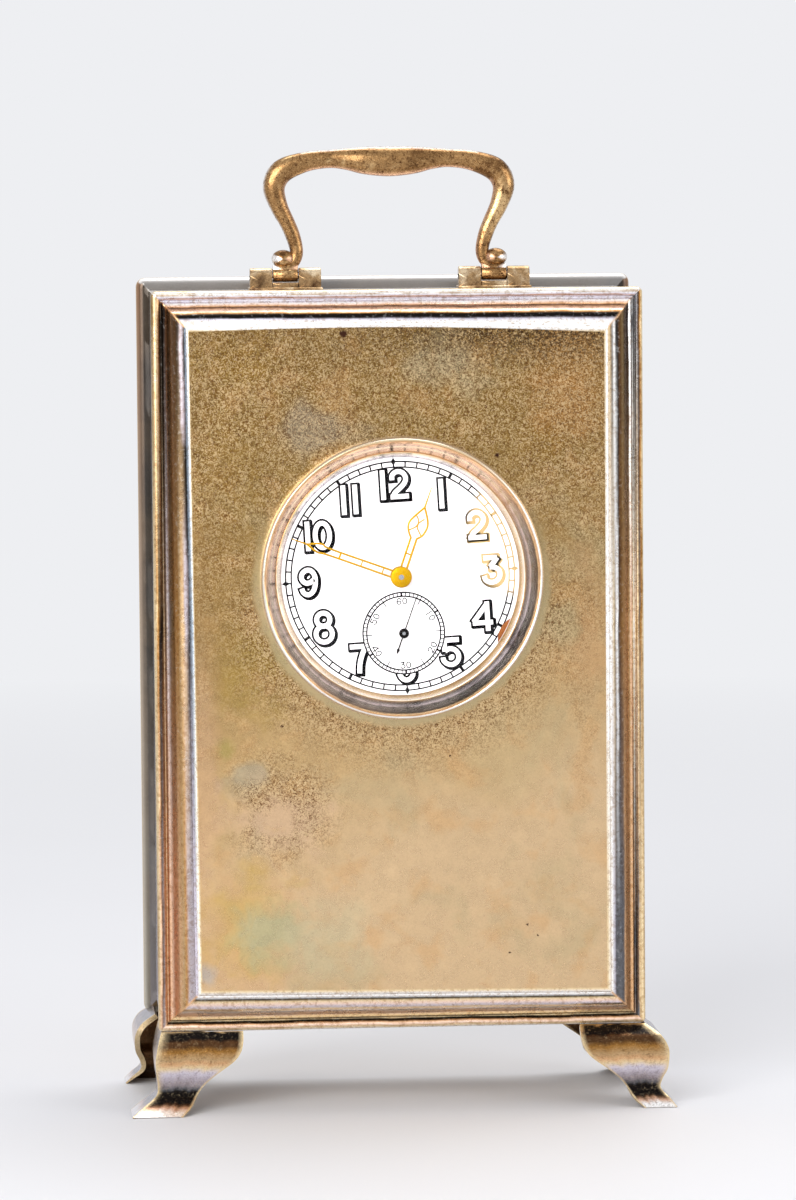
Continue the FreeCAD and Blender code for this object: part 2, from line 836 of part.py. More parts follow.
def back_plate():
    """The plate behind the train, with a round window for the balance."""
    thick = mm("back_plate")
    plate = disc(mm("plate_radius"), 0, thick)
    for places, radius in (
        (SMALL_PIVOTS, PIVOT_HOLE),
        ([CENTRE], CENTRE_HOLE),
        ([BARREL], mm("barrel_pivot") + mm("running_fit")),
        (PILLARS, mm("pillar_screw") + mm("seat_fit")),
        ([COCK_FOOT], mm("cock_screw") + mm("seat_fit")),
        ([CLICK], mm("click_screw") + mm("seat_fit")),
        ([BALANCE], mm("balance_radius") + mm("balance_window")),
    ):
        plate = drilled(plate, places, radius, 0, thick)
    return plate


def pillars():
    """Round pillars between the plates, tapped for the plate screws."""
    solids = []
    for place in PILLARS:
        solid = disc(mm("pillar_radius"), TRAIN[0], mm("train_gap"), place.x, place.z)
        bore = disc(
            mm("pillar_screw") + mm("seat_fit"), TRAIN[1] - mm("screw_reach") - mm("side_fit"),
            mm("train_gap"), place.x, place.z,
        )
        solids.append(solid.cut(bore))
    return Part.makeCompound(solids)


keep(feature("plate_a", main_plate(), 0, at("plate_front"), at("centre")), "main_plate")
keep(feature("plate_b", back_plate(), 0, at("train_back"), at("centre")), "back_plate")
keep(feature("pillar_set", pillars(), 0, 0, at("centre")), "plate_pillars")
plate_screws = screws(
    PILLARS, at("plate_back"), mm("back_plate") + mm("screw_reach"), mm("pillar_screw"),
)
keep(feature("plate_screw_set", plate_screws, 0, 0, at("centre")), "plate_screws")


def clamps():
    """Two small dogs that hook the main plate down into the ring."""
    solids = []
    sheet = mm("clamp_sheet")
    for turn in (0, 180):
        dog = Part.makeBox(
            mm("clamp_length"), sheet, mm("clamp_width"),
            Vector(mm("plate_radius") - mm("clamp_reach"), at("train_front"), -mm("clamp_width") / 2),
        )
        dog = drilled(
            dog, CLAMP_PLACES[:1], mm("clamp_screw") + mm("seat_fit"), at("train_front"), sheet,
        )
        dog.rotate(Vector(0, 0, 0), Vector(0, 1, 0), turn)
        solids.append(dog)
    return Part.makeCompound(solids)


CLAMP_PLACES = [Vector(at("clamp_x"), 0, 0), Vector(-at("clamp_x"), 0, 0)]
keep(feature("clamp_set", clamps(), 0, 0, at("centre")), "movement_clamps")
clamp_screws = screws(
    CLAMP_PLACES, at("train_front") + mm("clamp_sheet"), mm("clamp_sheet") + mm("screw_reach"),
    mm("clamp_screw"),
)
keep(feature("clamp_screw_set", clamp_screws, 0, 0, at("centre")), "clamp_screws")

# Toothed wheels
# Straight-sided teeth, widths as shares of the pitch and heights as shares of the module.
WHEEL_SHARES = {"tip": 0.18, "root": 0.50, "above": 0.60, "below": 1.05}
LEAF_SHARES = {"tip": 0.14, "root": 0.42, "above": 0.50, "below": 1.00}
WINDOW_SHARES = {"inner": 0.30, "outer": 0.84, "spoke": 0.06}
# Points of an escape tooth: share of the radius, and of the step round
ESCAPE_SHARES = ((0.78, -0.30), (1.00, 0.02), (0.98, 0.12), (0.80, 0.20))
RATCHET_SHARES = ((0.88, 0.05), (1.00, 0.75), (1.00, 0.90))


def toothed(teeth, module, shares, y, depth, facing, hole, crossings=0):
    """A toothed plate with one tooth towards an angle, a hole, and openings between spokes."""
    pitch_radius = teeth * module / 2
    step = 360.0 / teeth
    low = pitch_radius - shares["below"] * module
    high = pitch_radius + shares["above"] * module
    rim = []
    for k in range(teeth):
        middle = facing + k * step
        for radius, width, side in (
            (low, shares["root"], -1), (high, shares["tip"], -1),
            (high, shares["tip"], 1), (low, shares["root"], 1),
        ):
            rim.append(polar(radius, middle + side * width * step / 2))
    wheel = prism(rim, y, depth)
    wheel = wheel.cut(bore(hole, y, depth))
    if crossings:
        wheel = wheel.cut(windows(low, y, depth, crossings, facing))
    return wheel


def windows(rim_radius, y, depth, crossings, facing):
    """The openings between the spokes of a wheel, as flat-sided prisms."""
    inner = rim_radius * WINDOW_SHARES["inner"]
    outer = rim_radius * WINDOW_SHARES["outer"]
    half_spoke = rim_radius * WINDOW_SHARES["spoke"]
    cuts = []
    for k in range(crossings):
        start = facing + 360.0 * k / crossings
        end = start + 360.0 / crossings
        ring = []
        for radius, way in ((outer, 1), (inner, -1)):
            trim = math.degrees(math.asin(half_spoke / radius))
            angles = [start + trim + (end - start - 2 * trim) * j / 6 for j in range(7)][::way]
            ring += [polar(radius, angle) for angle in angles]
        cuts.append(prism(ring, y - depth, 3 * depth))
    return cuts


def towards(start, end):
    """The angle in the front view of the line from one place to another."""
    return math.degrees(math.atan2(end.z - start.z, end.x - start.x))


def arbor(leaves, module, facing, pinion_y, pinion_depth, front, back, radius):
    """A steel arbor with its pinion, and thin pivots that run in the plates."""
    shape = toothed(leaves, module, LEAF_SHARES, pinion_y, pinion_depth, facing, radius / 2)
    end = mm("side_fit")
    shape = shape.fuse([
        disc(radius, TRAIN[0] + end, mm("train_gap") - 2 * end),
        disc(mm("pivot_radius"), front, back - front),
    ])
    return shape


def set_on(place, shape, node):
    """Keep a piece of the movement at its own arbor."""
    return keep(feature(node + "_part", shape, place.x, 0, at("centre") + place.z), node)


# Levels of the going train behind the main plate, in steps of its gap
LEVEL = mm("train_gap") / 10
SHEET = mm("wheel_sheet")
PIVOT_FRONT = at("plate_front") + mm("main_plate") / 4
PIVOT_BACK = at("plate_back") - mm("back_plate") / 4
SEAT = mm("seat_fit")
FINE_SHARE = 0.8
FINE_SHEET = SHEET * FINE_SHARE

# Going barrel
BARREL_Y = TRAIN[0] + 2.4 * LEVEL
BARREL_RIM_SHARE = 1.6
BARREL_OUT = mm("barrel_module") * (mm("barrel_teeth") / 2 - BARREL_RIM_SHARE)


def barrel():
    """The toothed drum that holds the mainspring, open at the back for its cover."""
    wall = mm("barrel_wall")
    hole = mm("barrel_arbor_radius") + mm("running_fit")
    facing = towards(BARREL, CENTRE)
    drum = disc(BARREL_OUT, BARREL_Y, mm("barrel_height"))
    drum = drum.cut(disc(BARREL_OUT - wall, BARREL_Y + wall, mm("barrel_height")))
    teeth = toothed(
        int(mm("barrel_teeth")), mm("barrel_module"), WHEEL_SHARES, BARREL_Y, wall, facing, hole,
    )
    return drum.fuse(teeth).cut(bore(hole, BARREL_Y, mm("barrel_height")))


def barrel_cover():
    """The cover that snaps into the back of the drum."""
    wall = mm("barrel_wall")
    y = BARREL_Y + mm("barrel_height") - wall
    cover = disc(BARREL_OUT - wall - SEAT, y, wall)
    return cover.cut(bore(mm("barrel_arbor_radius") + mm("running_fit"), y, wall))


SPRING_HOLE_SHARE = 1.9


def mainspring():
    """The wound mainspring, as one ring between the arbor and the drum."""
    wall = mm("barrel_wall")
    gap = mm("side_fit")
    y = BARREL_Y + wall + gap
    depth = mm("barrel_height") - 2 * wall - 2 * gap
    coil = disc(BARREL_OUT - wall - gap, y, depth)
    return coil.cut(bore(SPRING_HOLE_SHARE * mm("barrel_arbor_radius"), y, depth))


def barrel_arbor():
    """The winding arbor: pivots in both plates, and a square for the ratchet and key."""
    body = disc(mm("barrel_arbor_radius"), TRAIN[0] + mm("side_fit"),
                mm("train_gap") - 2 * mm("side_fit"))
    pivot = disc(mm("barrel_pivot"), PIVOT_FRONT, at("plate_back") + SEAT - PIVOT_FRONT)
    side = mm("key_square")
    square = Part.makeBox(
        side, KEY_Y + mm("key_reach") / 2 - at("plate_back"), side,
        Vector(-side / 2, at("plate_back"), -side / 2),
    ).common(disc(mm("barrel_pivot"), at("plate_back"), 2 * mm("key_reach")))
    return body.fuse([pivot, square])


KEY_Y = at("plate_back") + mm("wheel_sheet") * 3
set_on(BARREL, barrel(), "barrel")
set_on(BARREL, barrel_cover(), "barrel_cover")
set_on(BARREL, mainspring(), "mainspring")
set_on(BARREL, barrel_arbor(), "barrel_arbor")

# Centre wheel on its hollow arbor, third, fourth and escape wheels
CENTRE_Y = TRAIN[0] + 0.6 * LEVEL
THIRD_Y = TRAIN[0] + 6.0 * LEVEL
FOURTH_Y = TRAIN[0] + 2.8 * LEVEL
ESCAPE_Y = TRAIN[0] + 5.8 * LEVEL


def centre_pinion():
    """A hollow arbor with leaves that the barrel drives; the setting arbor runs through it."""
    leaves = toothed(
        int(mm("centre_leaves")), mm("barrel_module"), LEAF_SHARES, BARREL_Y - LEVEL / 4,
        mm("barrel_wall") + LEVEL / 2, towards(CENTRE, BARREL) + 180 / mm("centre_leaves"),
        mm("arbor_radius") + mm("running_fit"),
    )
    tube = disc(mm("centre_tube"), PIVOT_FRONT, PIVOT_BACK - PIVOT_FRONT)
    hole = bore(mm("arbor_radius") + mm("running_fit"), PIVOT_FRONT, PIVOT_BACK - PIVOT_FRONT)
    return tube.fuse(leaves).cut(hole)


def train_wheel(teeth, module, y, facing, bore):
    """A crossed-out brass wheel on its pinion."""
    return toothed(int(teeth), module, WHEEL_SHARES, y, SHEET, facing, bore, 5)


def escape_wheel():
    """Fifteen pointed teeth, leaning forward."""
    count = int(mm("escape_teeth"))
    step = 360.0 / count
    ring = []
    for k in range(count):
        for reach, turn in ESCAPE_SHARES:
            ring.append(polar(mm("escape_radius") * reach, (k + turn) * step))
    wheel = prism(ring, ESCAPE_Y, FINE_SHEET)
    wheel = wheel.cut(bore(mm("arbor_radius") * FINE_SHARE + SEAT, ESCAPE_Y, SHEET))
    return wheel.cut(windows(mm("escape_radius") * ESCAPE_SHARES[0][0], ESCAPE_Y, SHEET, 4, 0))


set_on(CENTRE, centre_pinion(), "centre_pinion")
set_on(CENTRE, train_wheel(
    mm("centre_teeth"), mm("centre_module"), CENTRE_Y, towards(CENTRE, THIRD),
    mm("centre_tube") + SEAT,
), "centre_wheel")
set_on(THIRD, arbor(
    int(mm("third_leaves")), mm("centre_module"), towards(THIRD, CENTRE) + 180 / mm("third_leaves"),
    CENTRE_Y - LEVEL / 4, SHEET + LEVEL / 2, PIVOT_FRONT, PIVOT_BACK, mm("arbor_radius"),
), "third_pinion")
set_on(THIRD, train_wheel(
    mm("third_teeth"), mm("third_module"), THIRD_Y, towards(THIRD, FOURTH), mm("arbor_radius") + SEAT,
), "third_wheel")
set_on(FOURTH, arbor(
    int(mm("fourth_leaves")), mm("third_module"), towards(FOURTH, THIRD) + 180 / mm("fourth_leaves"),
    THIRD_Y - LEVEL / 4, SHEET + LEVEL / 2, at("dial_face") - mm("second_level") - 2 * mm("hand_sheet"),
    PIVOT_BACK, mm("arbor_radius"),
), "fourth_pinion")
set_on(FOURTH, train_wheel(
    mm("fourth_teeth"), mm("fourth_module"), FOURTH_Y, towards(FOURTH, ESCAPE),
    mm("arbor_radius") + SEAT,
), "fourth_wheel")
set_on(ESCAPE, arbor(
    int(mm("escape_leaves")), mm("fourth_module"), towards(ESCAPE, FOURTH) + 180 / mm("escape_leaves"),
    FOURTH_Y - LEVEL / 4, SHEET + LEVEL / 2, PIVOT_FRONT, PIVOT_BACK, mm("arbor_radius") * FINE_SHARE,
), "escape_pinion")
set_on(ESCAPE, escape_wheel(), "escape_wheel")

# Lever, balance and hairspring
LEVER_Y = ESCAPE_Y
BALANCE_Y = TRAIN[0] + 8.0 * LEVEL
ROLLER_Y = TRAIN[0] + 7.0 * LEVEL
SPRING_Y = BALANCE_Y + mm("balance_depth") + 2 * mm("side_fit")


PALLET_ARBOR = mm("arbor_radius") * FINE_SHARE
STONE_OUT_SHARE = 0.825
STONE_OUT = mm("escape_radius") * STONE_OUT_SHARE
ARM_SHARE = 1.6


def bar_between(start, end, width, y, depth):
    """A straight flat bar between two places."""
    line = (end - start).normalize()
    side = Vector(-line.z, 0, line.x) * (width / 2)
    return prism([start - side, end - side, end + side, start + side], y, depth)


def pallet_fork():
    """The lever: arms for two pallet stones, and a slotted end by the roller."""
    line = (BALANCE - ESCAPE).normalize()
    side = Vector(-line.z, 0, line.x)
    width = mm("fork_width")
    horn = mm("fork_end")
    reach = (BALANCE - PALLET).Length - mm("impulse_circle")
    stem = bar_between(CENTRE, line * (reach - horn / 2), width, LEVER_Y, FINE_SHEET)
    end = bar_between(
        line * (reach - horn / 2), line * (reach + horn / 8), horn, LEVER_Y, FINE_SHEET,
    )
    slot = bar_between(
        line * (reach - horn / 4), line * (reach + horn), mm("fork_slot"),
        LEVER_Y - mm("overrun"), FINE_SHEET + 2 * mm("overrun"),
    )
    span = side * (STONE_OUT + width / 2)
    arms = bar_between(-span, span, ARM_SHARE * width, LEVER_Y, FINE_SHEET)
    return stem.fuse([end, arms]).cut(slot).cut(bore(PALLET_ARBOR + SEAT, LEVER_Y, FINE_SHEET))


def pallet_stones():
    """Two ruby pallets set on the arms, standing just clear of the teeth."""
    line = (BALANCE - ESCAPE).normalize()
    side = Vector(-line.z, 0, line.x)
    width = mm("fork_width")
    stones = []
    for way in (-1, 1):
        root = side * way * STONE_OUT - line * ARM_SHARE * width / 2
        stones.append(bar_between(root, root - line * mm("stone_length"), width, LEVER_Y, FINE_SHEET))
    return Part.makeCompound(stones)


def pallet_arbor():
    """The lever's arbor, with its two pivots."""
    end = mm("side_fit")
    shaft = disc(PALLET_ARBOR, TRAIN[0] + end, mm("train_gap") - 2 * end)
    return shaft.fuse(disc(mm("pivot_radius"), PIVOT_FRONT, PIVOT_BACK - PIVOT_FRONT))


def balance_wheel():
    """A plain rim on two arms."""
    radius = mm("balance_radius")
    rim_width = mm("balance_rim")
    depth = mm("balance_depth")
    wheel = disc(radius, BALANCE_Y, depth).cut(bore(radius - rim_width, BALANCE_Y, depth))
    tip = polar(radius - rim_width / 2, mm("balance_arm_angle"))
    arm = bar_between(-tip, tip, rim_width, BALANCE_Y + depth / 4, depth / 2)
    hub = disc(2 * mm("staff_radius"), BALANCE_Y, depth)
    return wheel.fuse([arm, hub]).cut(bore(mm("staff_radius") + SEAT, BALANCE_Y, depth))


def balance_staff():
    """The staff, with a pivot in the main plate and one in the cock."""
    shaft = disc(mm("staff_radius"), TRAIN[0] + mm("side_fit"),
                 at("cock_front") - mm("side_fit") * 2 - TRAIN[0])
    pivots = disc(mm("pivot_radius"), PIVOT_FRONT, at("cock_back") - mm("cock_depth") / 3 - PIVOT_FRONT)
    return shaft.fuse(pivots)


def roller():
    """The roller disc on the staff, and the ruby pin that works in the lever's slot."""
    thick = BALANCE_Y - ROLLER_Y - mm("side_fit")
    table = disc(mm("roller_radius"), ROLLER_Y, thick)
    line = (PALLET - BALANCE).normalize() * mm("impulse_circle")
    pin = disc(mm("impulse_pin"), ROLLER_Y - mm("impulse_reach"), mm("impulse_reach") + thick,
               line.x, line.z)
    return table.fuse(pin).cut(bore(mm("staff_radius") + SEAT, ROLLER_Y, thick))


COIL_STEPS = 16
COLLET_SHARE = 1.8


def hairspring():
    """A flat coil from the collet on the staff out to the stud under the cock."""
    turns = mm("hairspring_turns")
    inner = COLLET_SHARE * mm("staff_radius")
    outer = mm("hairspring_radius")
    half = mm("hairspring_sheet") / 2
    steps = int(turns * COIL_STEPS)
    rows = []
    for side in (-1, 1):
        rows.append([
            polar(
                inner + (outer - inner) * k / steps + side * half,
                mm("cock_angle") + 360 * turns * (k / steps - 1),
            )
            for k in range(steps + 1)
        ])
    height = mm("hairspring_height")
    coil = prism(rows[0] + rows[1][::-1], SPRING_Y, height)
    collet = disc(inner + half, SPRING_Y, height)
    return coil.fuse(collet).cut(bore(mm("staff_radius") + SEAT, SPRING_Y, height))


set_on(PALLET, pallet_fork(), "pallet_fork")
set_on(PALLET, pallet_stones(), "pallet_stones")
set_on(PALLET, pallet_arbor(), "pallet_arbor")
set_on(BALANCE, balance_wheel(), "balance_wheel")
set_on(BALANCE, balance_staff(), "balance_staff")
set_on(BALANCE, roller(), "balance_roller")
set_on(BALANCE, hairspring(), "hairspring")


def tapered(start, end, start_radius, end_radius, y, depth):
    """A flat plate round two circles and the tangents between them."""
    line = end - start
    lean = math.degrees(math.acos((start_radius - end_radius) / line.Length))
    along = towards(start, end)
    corners = [
        start + polar(start_radius, along + lean), end + polar(end_radius, along + lean),
        end + polar(end_radius, along - lean), start + polar(start_radius, along - lean),
    ]
    plate = prism(corners, y, depth)
    return plate.fuse([
        disc(start_radius, y, depth, start.x, start.z), disc(end_radius, y, depth, end.x, end.z),
    ]).removeSplitter()


def balance_cock():
    """The bridge that carries the balance's back pivot, on a foot screwed to the back plate."""
    foot_at = COCK_FOOT - BALANCE
    lift = mm("cock_lift")
    depth = mm("cock_depth")
    arm = tapered(foot_at, CENTRE, mm("cock_foot"), mm("cock_head"), at("cock_front"), depth)
    sole = disc(mm("cock_foot"), at("plate_back"), lift, foot_at.x, foot_at.z)
    window = bore(mm("balance_radius") + mm("balance_window"), at("plate_back"), 0)
    stud_at = polar(mm("hairspring_radius") + mm("stud_radius") + mm("side_fit"), mm("cock_angle"))
    stud = disc(mm("stud_radius"), SPRING_Y, at("cock_front") - SPRING_Y, stud_at.x, stud_at.z)
    body = arm.fuse([sole.cut(window), stud]).removeSplitter()
    body = drilled(body, [foot_at], mm("cock_screw") + SEAT, at("plate_back"), lift + depth)
    return body.cut(bore(PIVOT_HOLE, at("cock_front"), depth))


POINTER_TURN_ANGLE = 45
POINTER_SHARES = {"ring": 0.75, "pointer": 0.36, "tail": 0.41, "tail_length": 0.5}


def regulator():
    """The index: a ring round the cock's jewel with a long pointer and a short tail."""
    y = at("cock_back") + mm("side_fit")
    sheet = mm("regulator_sheet")
    head = mm("cock_head")
    length = mm("regulator_length")
    ring = disc(head * POINTER_SHARES["ring"], y, sheet)
    tip = polar(length, mm("cock_angle") - POINTER_TURN_ANGLE)
    pointer = bar_between(CENTRE, tip, head * POINTER_SHARES["pointer"], y, sheet)
    end = polar(length * POINTER_SHARES["tail_length"], mm("cock_angle") - 180)
    tail = bar_between(CENTRE, end, head * POINTER_SHARES["tail"], y, sheet)
    return ring.fuse([pointer, tail]).cut(bore(mm("jewel_radius") + mm("running_fit"), y, sheet))


JEWEL_FLANGE_SHARE = 1.35


def cap_jewel():
    """The setting that the index turns round, over the balance's back pivot."""
    depth = mm("regulator_sheet") + 2 * mm("side_fit")
    boss = disc(mm("jewel_radius"), at("cock_back"), depth)
    flange = disc(JEWEL_FLANGE_SHARE * mm("jewel_radius"), at("cock_back") + depth, mm("regulator_sheet"))
    return boss.fuse(flange)


set_on(BALANCE, balance_cock(), "balance_cock")
set_on(BALANCE, regulator(), "regulator")
set_on(BALANCE, cap_jewel(), "cap_jewel")
cock_screw = screws(
    [COCK_FOOT], at("cock_back"), mm("cock_depth") + mm("cock_lift") + mm("back_plate"), mm("cock_screw"),
)
keep(feature("cock_screw_set", cock_screw, 0, 0, at("centre")), "cock_screw")

# Ratchet, click and key
RATCHET_Y = at("plate_back") + mm("side_fit")
CLICK_SHARE = 1.6
CLICK_SHEET = SHEET * CLICK_SHARE
KEY_SIDE = mm("key_square") + 2 * SEAT


def square_hole(y, depth):
    """A square cutter with rounded corners that fits over the winding square."""
    over = mm("overrun")
    square = Part.makeBox(KEY_SIDE, depth + over, KEY_SIDE, Vector(-KEY_SIDE / 2, y - over, -KEY_SIDE / 2))
    return square.common(bore(mm("barrel_pivot") + SEAT, y, depth))


def ratchet_wheel():
    """The ratchet on the winding square: each tooth has one steep side."""
    step = 360.0 / mm("ratchet_teeth")
    ring = []
    for k in range(int(mm("ratchet_teeth"))):
        for reach, turn in RATCHET_SHARES:
            ring.append(polar(mm("ratchet_radius") * reach, (k + turn) * step))
    wheel = prism(ring, RATCHET_Y, 2 * SHEET)
    return wheel.cut(square_hole(RATCHET_Y, 3 * SHEET))


def click():
    """The pawl on the back plate, its nose just clear of the ratchet's teeth."""
    nose = polar(mm("click_length"), mm("click_angle") + 180)
    body = tapered(CENTRE, nose, mm("click_width"), CLICK_TIP_RADIUS, RATCHET_Y, CLICK_SHEET)
    return body.cut(bore(mm("click_screw") + mm("running_fit"), RATCHET_Y, CLICK_SHEET))


def click_spring():
    """A straight wire beside the click."""
    wire = mm("click_wire")
    side = polar(mm("click_width") + wire + 2 * mm("side_fit"), mm("click_angle") + 90)
    start = side + polar(mm("click_length") / 2, mm("click_angle"))
    end = side + polar(mm("click_length") / 2, mm("click_angle") + 180)
    return bar_between(start, end, wire, at("plate_back"), SHEET)


set_on(BARREL, ratchet_wheel(), "ratchet_wheel")
set_on(CLICK, click(), "click")
set_on(CLICK, click_spring(), "click_spring")
CLICK_HEAD = RATCHET_Y + CLICK_SHEET + mm("side_fit")
click_screw = screws([CLICK], CLICK_HEAD, CLICK_HEAD - at("train_back"), mm("click_screw"))
keep(feature("click_screw_set", click_screw, 0, 0, at("centre")), "click_screw")


def winding_key():
    """The key on the winding square: a pipe and two flat wings."""
    reach = mm("key_reach")
    wing = mm("key_wing")
    tall = mm("key_wing_height")
    sheet = mm("key_wing_sheet")
    pipe = disc(mm("key_pipe"), KEY_Y, reach)
    wings = Part.makeBox(
        2 * wing, tall, sheet, Vector(-wing, KEY_Y + reach - tall / 2, -sheet / 2),
    )
    return pipe.cut(square_hole(KEY_Y, reach / 2)).fuse(wings).removeSplitter()


set_on(BARREL, winding_key(), "winding_key")

# Motion work, between the main plate and the dial
HOUR_MODULE = 2 * MOTION_REACH / (mm("hour_teeth") + mm("minute_leaves"))


def motion(name):
    """The front y and the depth of a piece of the motion work."""
    near, far = MOTION_SHARES[name]
    return at("plate_front") - far * mm("motion_gap"), (far - near) * mm("motion_gap")


def hand_level(name):
    """The y of a hand's front face."""
    return at("dial_face") - mm(name + "_level") - mm("hand_sheet")


def cannon_pinion():
    """The pinion and pipe that carry the minute hand."""
    y, depth = motion("cannon")
    leaves = toothed(
        int(mm("cannon_leaves")), mm("cannon_module"), LEAF_SHARES, y, depth,
        mm("minute_wheel_angle"), mm("arbor_radius"),
    )
    front = hand_level("minute") - mm("side_fit")
    pipe = disc(mm("cannon_pipe"), front, y + depth - front)
    return leaves.fuse(pipe).cut(bore(mm("arbor_radius") + SEAT, front, y + depth - front))


def minute_wheel():
    """The wheel and pinion that gear the hour hand down."""
    y, depth = motion("minute_wheel")
    facing = mm("minute_wheel_angle") + 180
    hole = mm("minute_post") + mm("running_fit")
    wheel = toothed(
        int(mm("minute_teeth")), mm("cannon_module"), WHEEL_SHARES, y, depth,
        facing + 180 / mm("minute_teeth"), hole, 5,
    )
    y, depth = motion("minute_pinion")
    pinion = toothed(int(mm("minute_leaves")), HOUR_MODULE, LEAF_SHARES, y, depth, facing, hole)
    hub = disc(HOUR_MODULE * mm("minute_leaves") / 2, *motion("minute_wheel"))
    return wheel.fuse([hub, pinion]).cut(bore(hole, y, 2 * depth))


def hour_wheel():
    """The wheel and pipe that carry the hour hand."""
    y, depth = motion("hour_wheel")
    hole = mm("cannon_pipe") + mm("running_fit")
    wheel = toothed(
        int(mm("hour_teeth")), HOUR_MODULE, WHEEL_SHARES, y, depth,
        mm("minute_wheel_angle") + 180 / mm("hour_teeth"), hole, 5,
    )
    front = hand_level("hour") - mm("side_fit")
    pipe = disc(mm("hour_pipe"), front, y + depth - front)
    return wheel.fuse(pipe).cut(bore(hole, front, y + depth - front))


def set_arbor():
    """The thin arbor through the movement, from the minute hand to the setting knob."""
    front = hand_level("minute") - 2 * mm("side_fit")
    return disc(mm("arbor_radius"), front, at("plate_back") + mm("knob_reach") - front)


def set_knob():
    """The knob behind the movement that sets the hands."""
    depth = mm("knob_depth")
    y = at("plate_back") + mm("knob_reach") - depth
    knob = disc(mm("knob_radius"), y, depth)
    knob = knob.makeChamfer(depth / 6, knob.Edges)
    collar = disc(2 * mm("arbor_radius"), y - depth / 2, depth / 2)
    return knob.fuse(collar).cut(bore(mm("arbor_radius") + SEAT, y - depth / 2, 2 * depth))


set_on(CENTRE, cannon_pinion(), "cannon_pinion")
set_on(MINUTE_WHEEL, minute_wheel(), "minute_wheel")
set_on(CENTRE, hour_wheel(), "hour_wheel")
set_on(CENTRE, set_arbor(), "set_arbor")
set_on(CENTRE, set_knob(), "set_knob")

# Hands
# Open-worked hands: two rails out to a leaf and a needle. Rows are shares of the length and
# of the leaf's half width, out to where the needle starts. Bars are shares of the length.
HOUR_SHARES = (
    (0.30, 0.00), (0.44, 0.00), (0.50, 0.72), (0.57, 1.00), (0.65, 0.78), (0.72, 0.38), (0.78, 0.00),
)
MINUTE_SHARES = ((0.30, 0.00), (0.60, 0.30), (0.72, 0.70), (0.76, 0.60), (0.81, 0.38), (0.86, 0.00))
HOUR_BAR_SHARES = (0.255,)
MINUTE_BAR_SHARES = (0.17, 0.36, 0.56)
HOUR_CROSS_SHARES = (0.50, 0.66)
HOUR_CROSS_WIDE_SHARE = 0.80


def open_hand(length, leaf, shares, bars, boss, y):
    """The outline of an open-worked hand along X, and the pieces that are joined to it."""
    rail = mm("hand_rail")
    half = mm("hand_half")
    sheet = mm("hand_sheet")
    joint = shares[-1][0] * length
    rows = [(0, half)] + [
        (along * length, half + out * (leaf - half) if along < shares[-1][0] else 0)
        for along, out in shares
    ]

    def edge(grow):
        """The outline of the rails and the leaf, moved outward."""
        right = [Vector(d, 0, max(w + grow, 0)) for d, w in rows]
        right[-1] = Vector(joint + 2 * grow, 0, 0)
        return right + [Vector(p.x, 0, -p.z) for p in right[-2::-1]]

    shape = prism(edge(rail / 2), y, sheet).cut(prism(edge(-rail / 2), y - sheet, 3 * sheet))
    needle = prism(
        [
            Vector(joint - rail, 0, rail / 2), Vector(length, 0, rail / 6),
            Vector(length, 0, -rail / 6), Vector(joint - rail, 0, -rail / 2),
        ],
        y, sheet,
    )
    extra = [needle, disc(boss, y, sheet)]
    for share in bars:
        place = share * length
        extra.append(bar_between(Vector(place, 0, -half), Vector(place, 0, half), rail, y, sheet))
    return shape, extra


def finished_hand(shape, extra, hole, angle, y):
    """Join a hand's pieces, bore its boss and turn it to its angle."""
    hand = shape.fuse(extra).removeSplitter().cut(bore(hole, y, mm("hand_sheet")))
    hand.rotate(Vector(0, 0, 0), Vector(0, 1, 0), -angle)
    return hand


def hour_hand():
    """The hour hand, with a cross inside its leaf."""
    length = mm("hour_hand")
    leaf = mm("hour_leaf")
    y = hand_level("hour")
    shape, extra = open_hand(length, leaf, HOUR_SHARES, HOUR_BAR_SHARES, mm("hour_boss"), y)
    low, high = HOUR_CROSS_SHARES
    for side in (-1, 1):
        start = Vector(low * length, 0, side * HOUR_CROSS_WIDE_SHARE * leaf)
        end = Vector(high * length, 0, -side * HOUR_CROSS_WIDE_SHARE * leaf)
        extra.append(bar_between(start, end, mm("hand_rail"), y, mm("hand_sheet")))
    return finished_hand(shape, extra, mm("hour_pipe") + SEAT, mm("hour_hand_angle"), y)


def minute_hand():
    """The minute hand."""
    y = hand_level("minute")
    shape, extra = open_hand(
        at("minute_hand_length"), mm("minute_leaf"), MINUTE_SHARES, MINUTE_BAR_SHARES,
        mm("minute_boss"), y,
    )
    return finished_hand(shape, extra, mm("cannon_pipe") + SEAT, mm("minute_hand_angle"), y)


def second_hand():
    """The seconds hand: a thin rod, a boss and an arrow on its tail."""
    y = hand_level("second")
    sheet = mm("hand_sheet")
    width = mm("second_width")
    tail = mm("second_tail")
    rod_shape = prism(
        [
            Vector(-tail, 0, -width / 2), Vector(mm("second_hand"), 0, -width / 4),
            Vector(mm("second_hand"), 0, width / 4), Vector(-tail, 0, width / 2),
        ],
        y, sheet,
    )
    arrow = prism(
        [
            Vector(-tail, 0, 0), Vector(width * 3 - tail, 0, 1.5 * width),
            Vector(width * 5 - tail, 0, 0), Vector(width * 3 - tail, 0, -1.5 * width),
        ],
        y, sheet,
    )
    extra = [arrow, disc(mm("second_boss"), y, sheet)]
    return finished_hand(rod_shape, extra, mm("pivot_radius") + SEAT, mm("second_hand_angle"), y)


set_on(CENTRE, hour_hand(), "hour_hand")
set_on(CENTRE, minute_hand(), "minute_hand")
set_on(FOURTH, second_hand(), "second_hand")

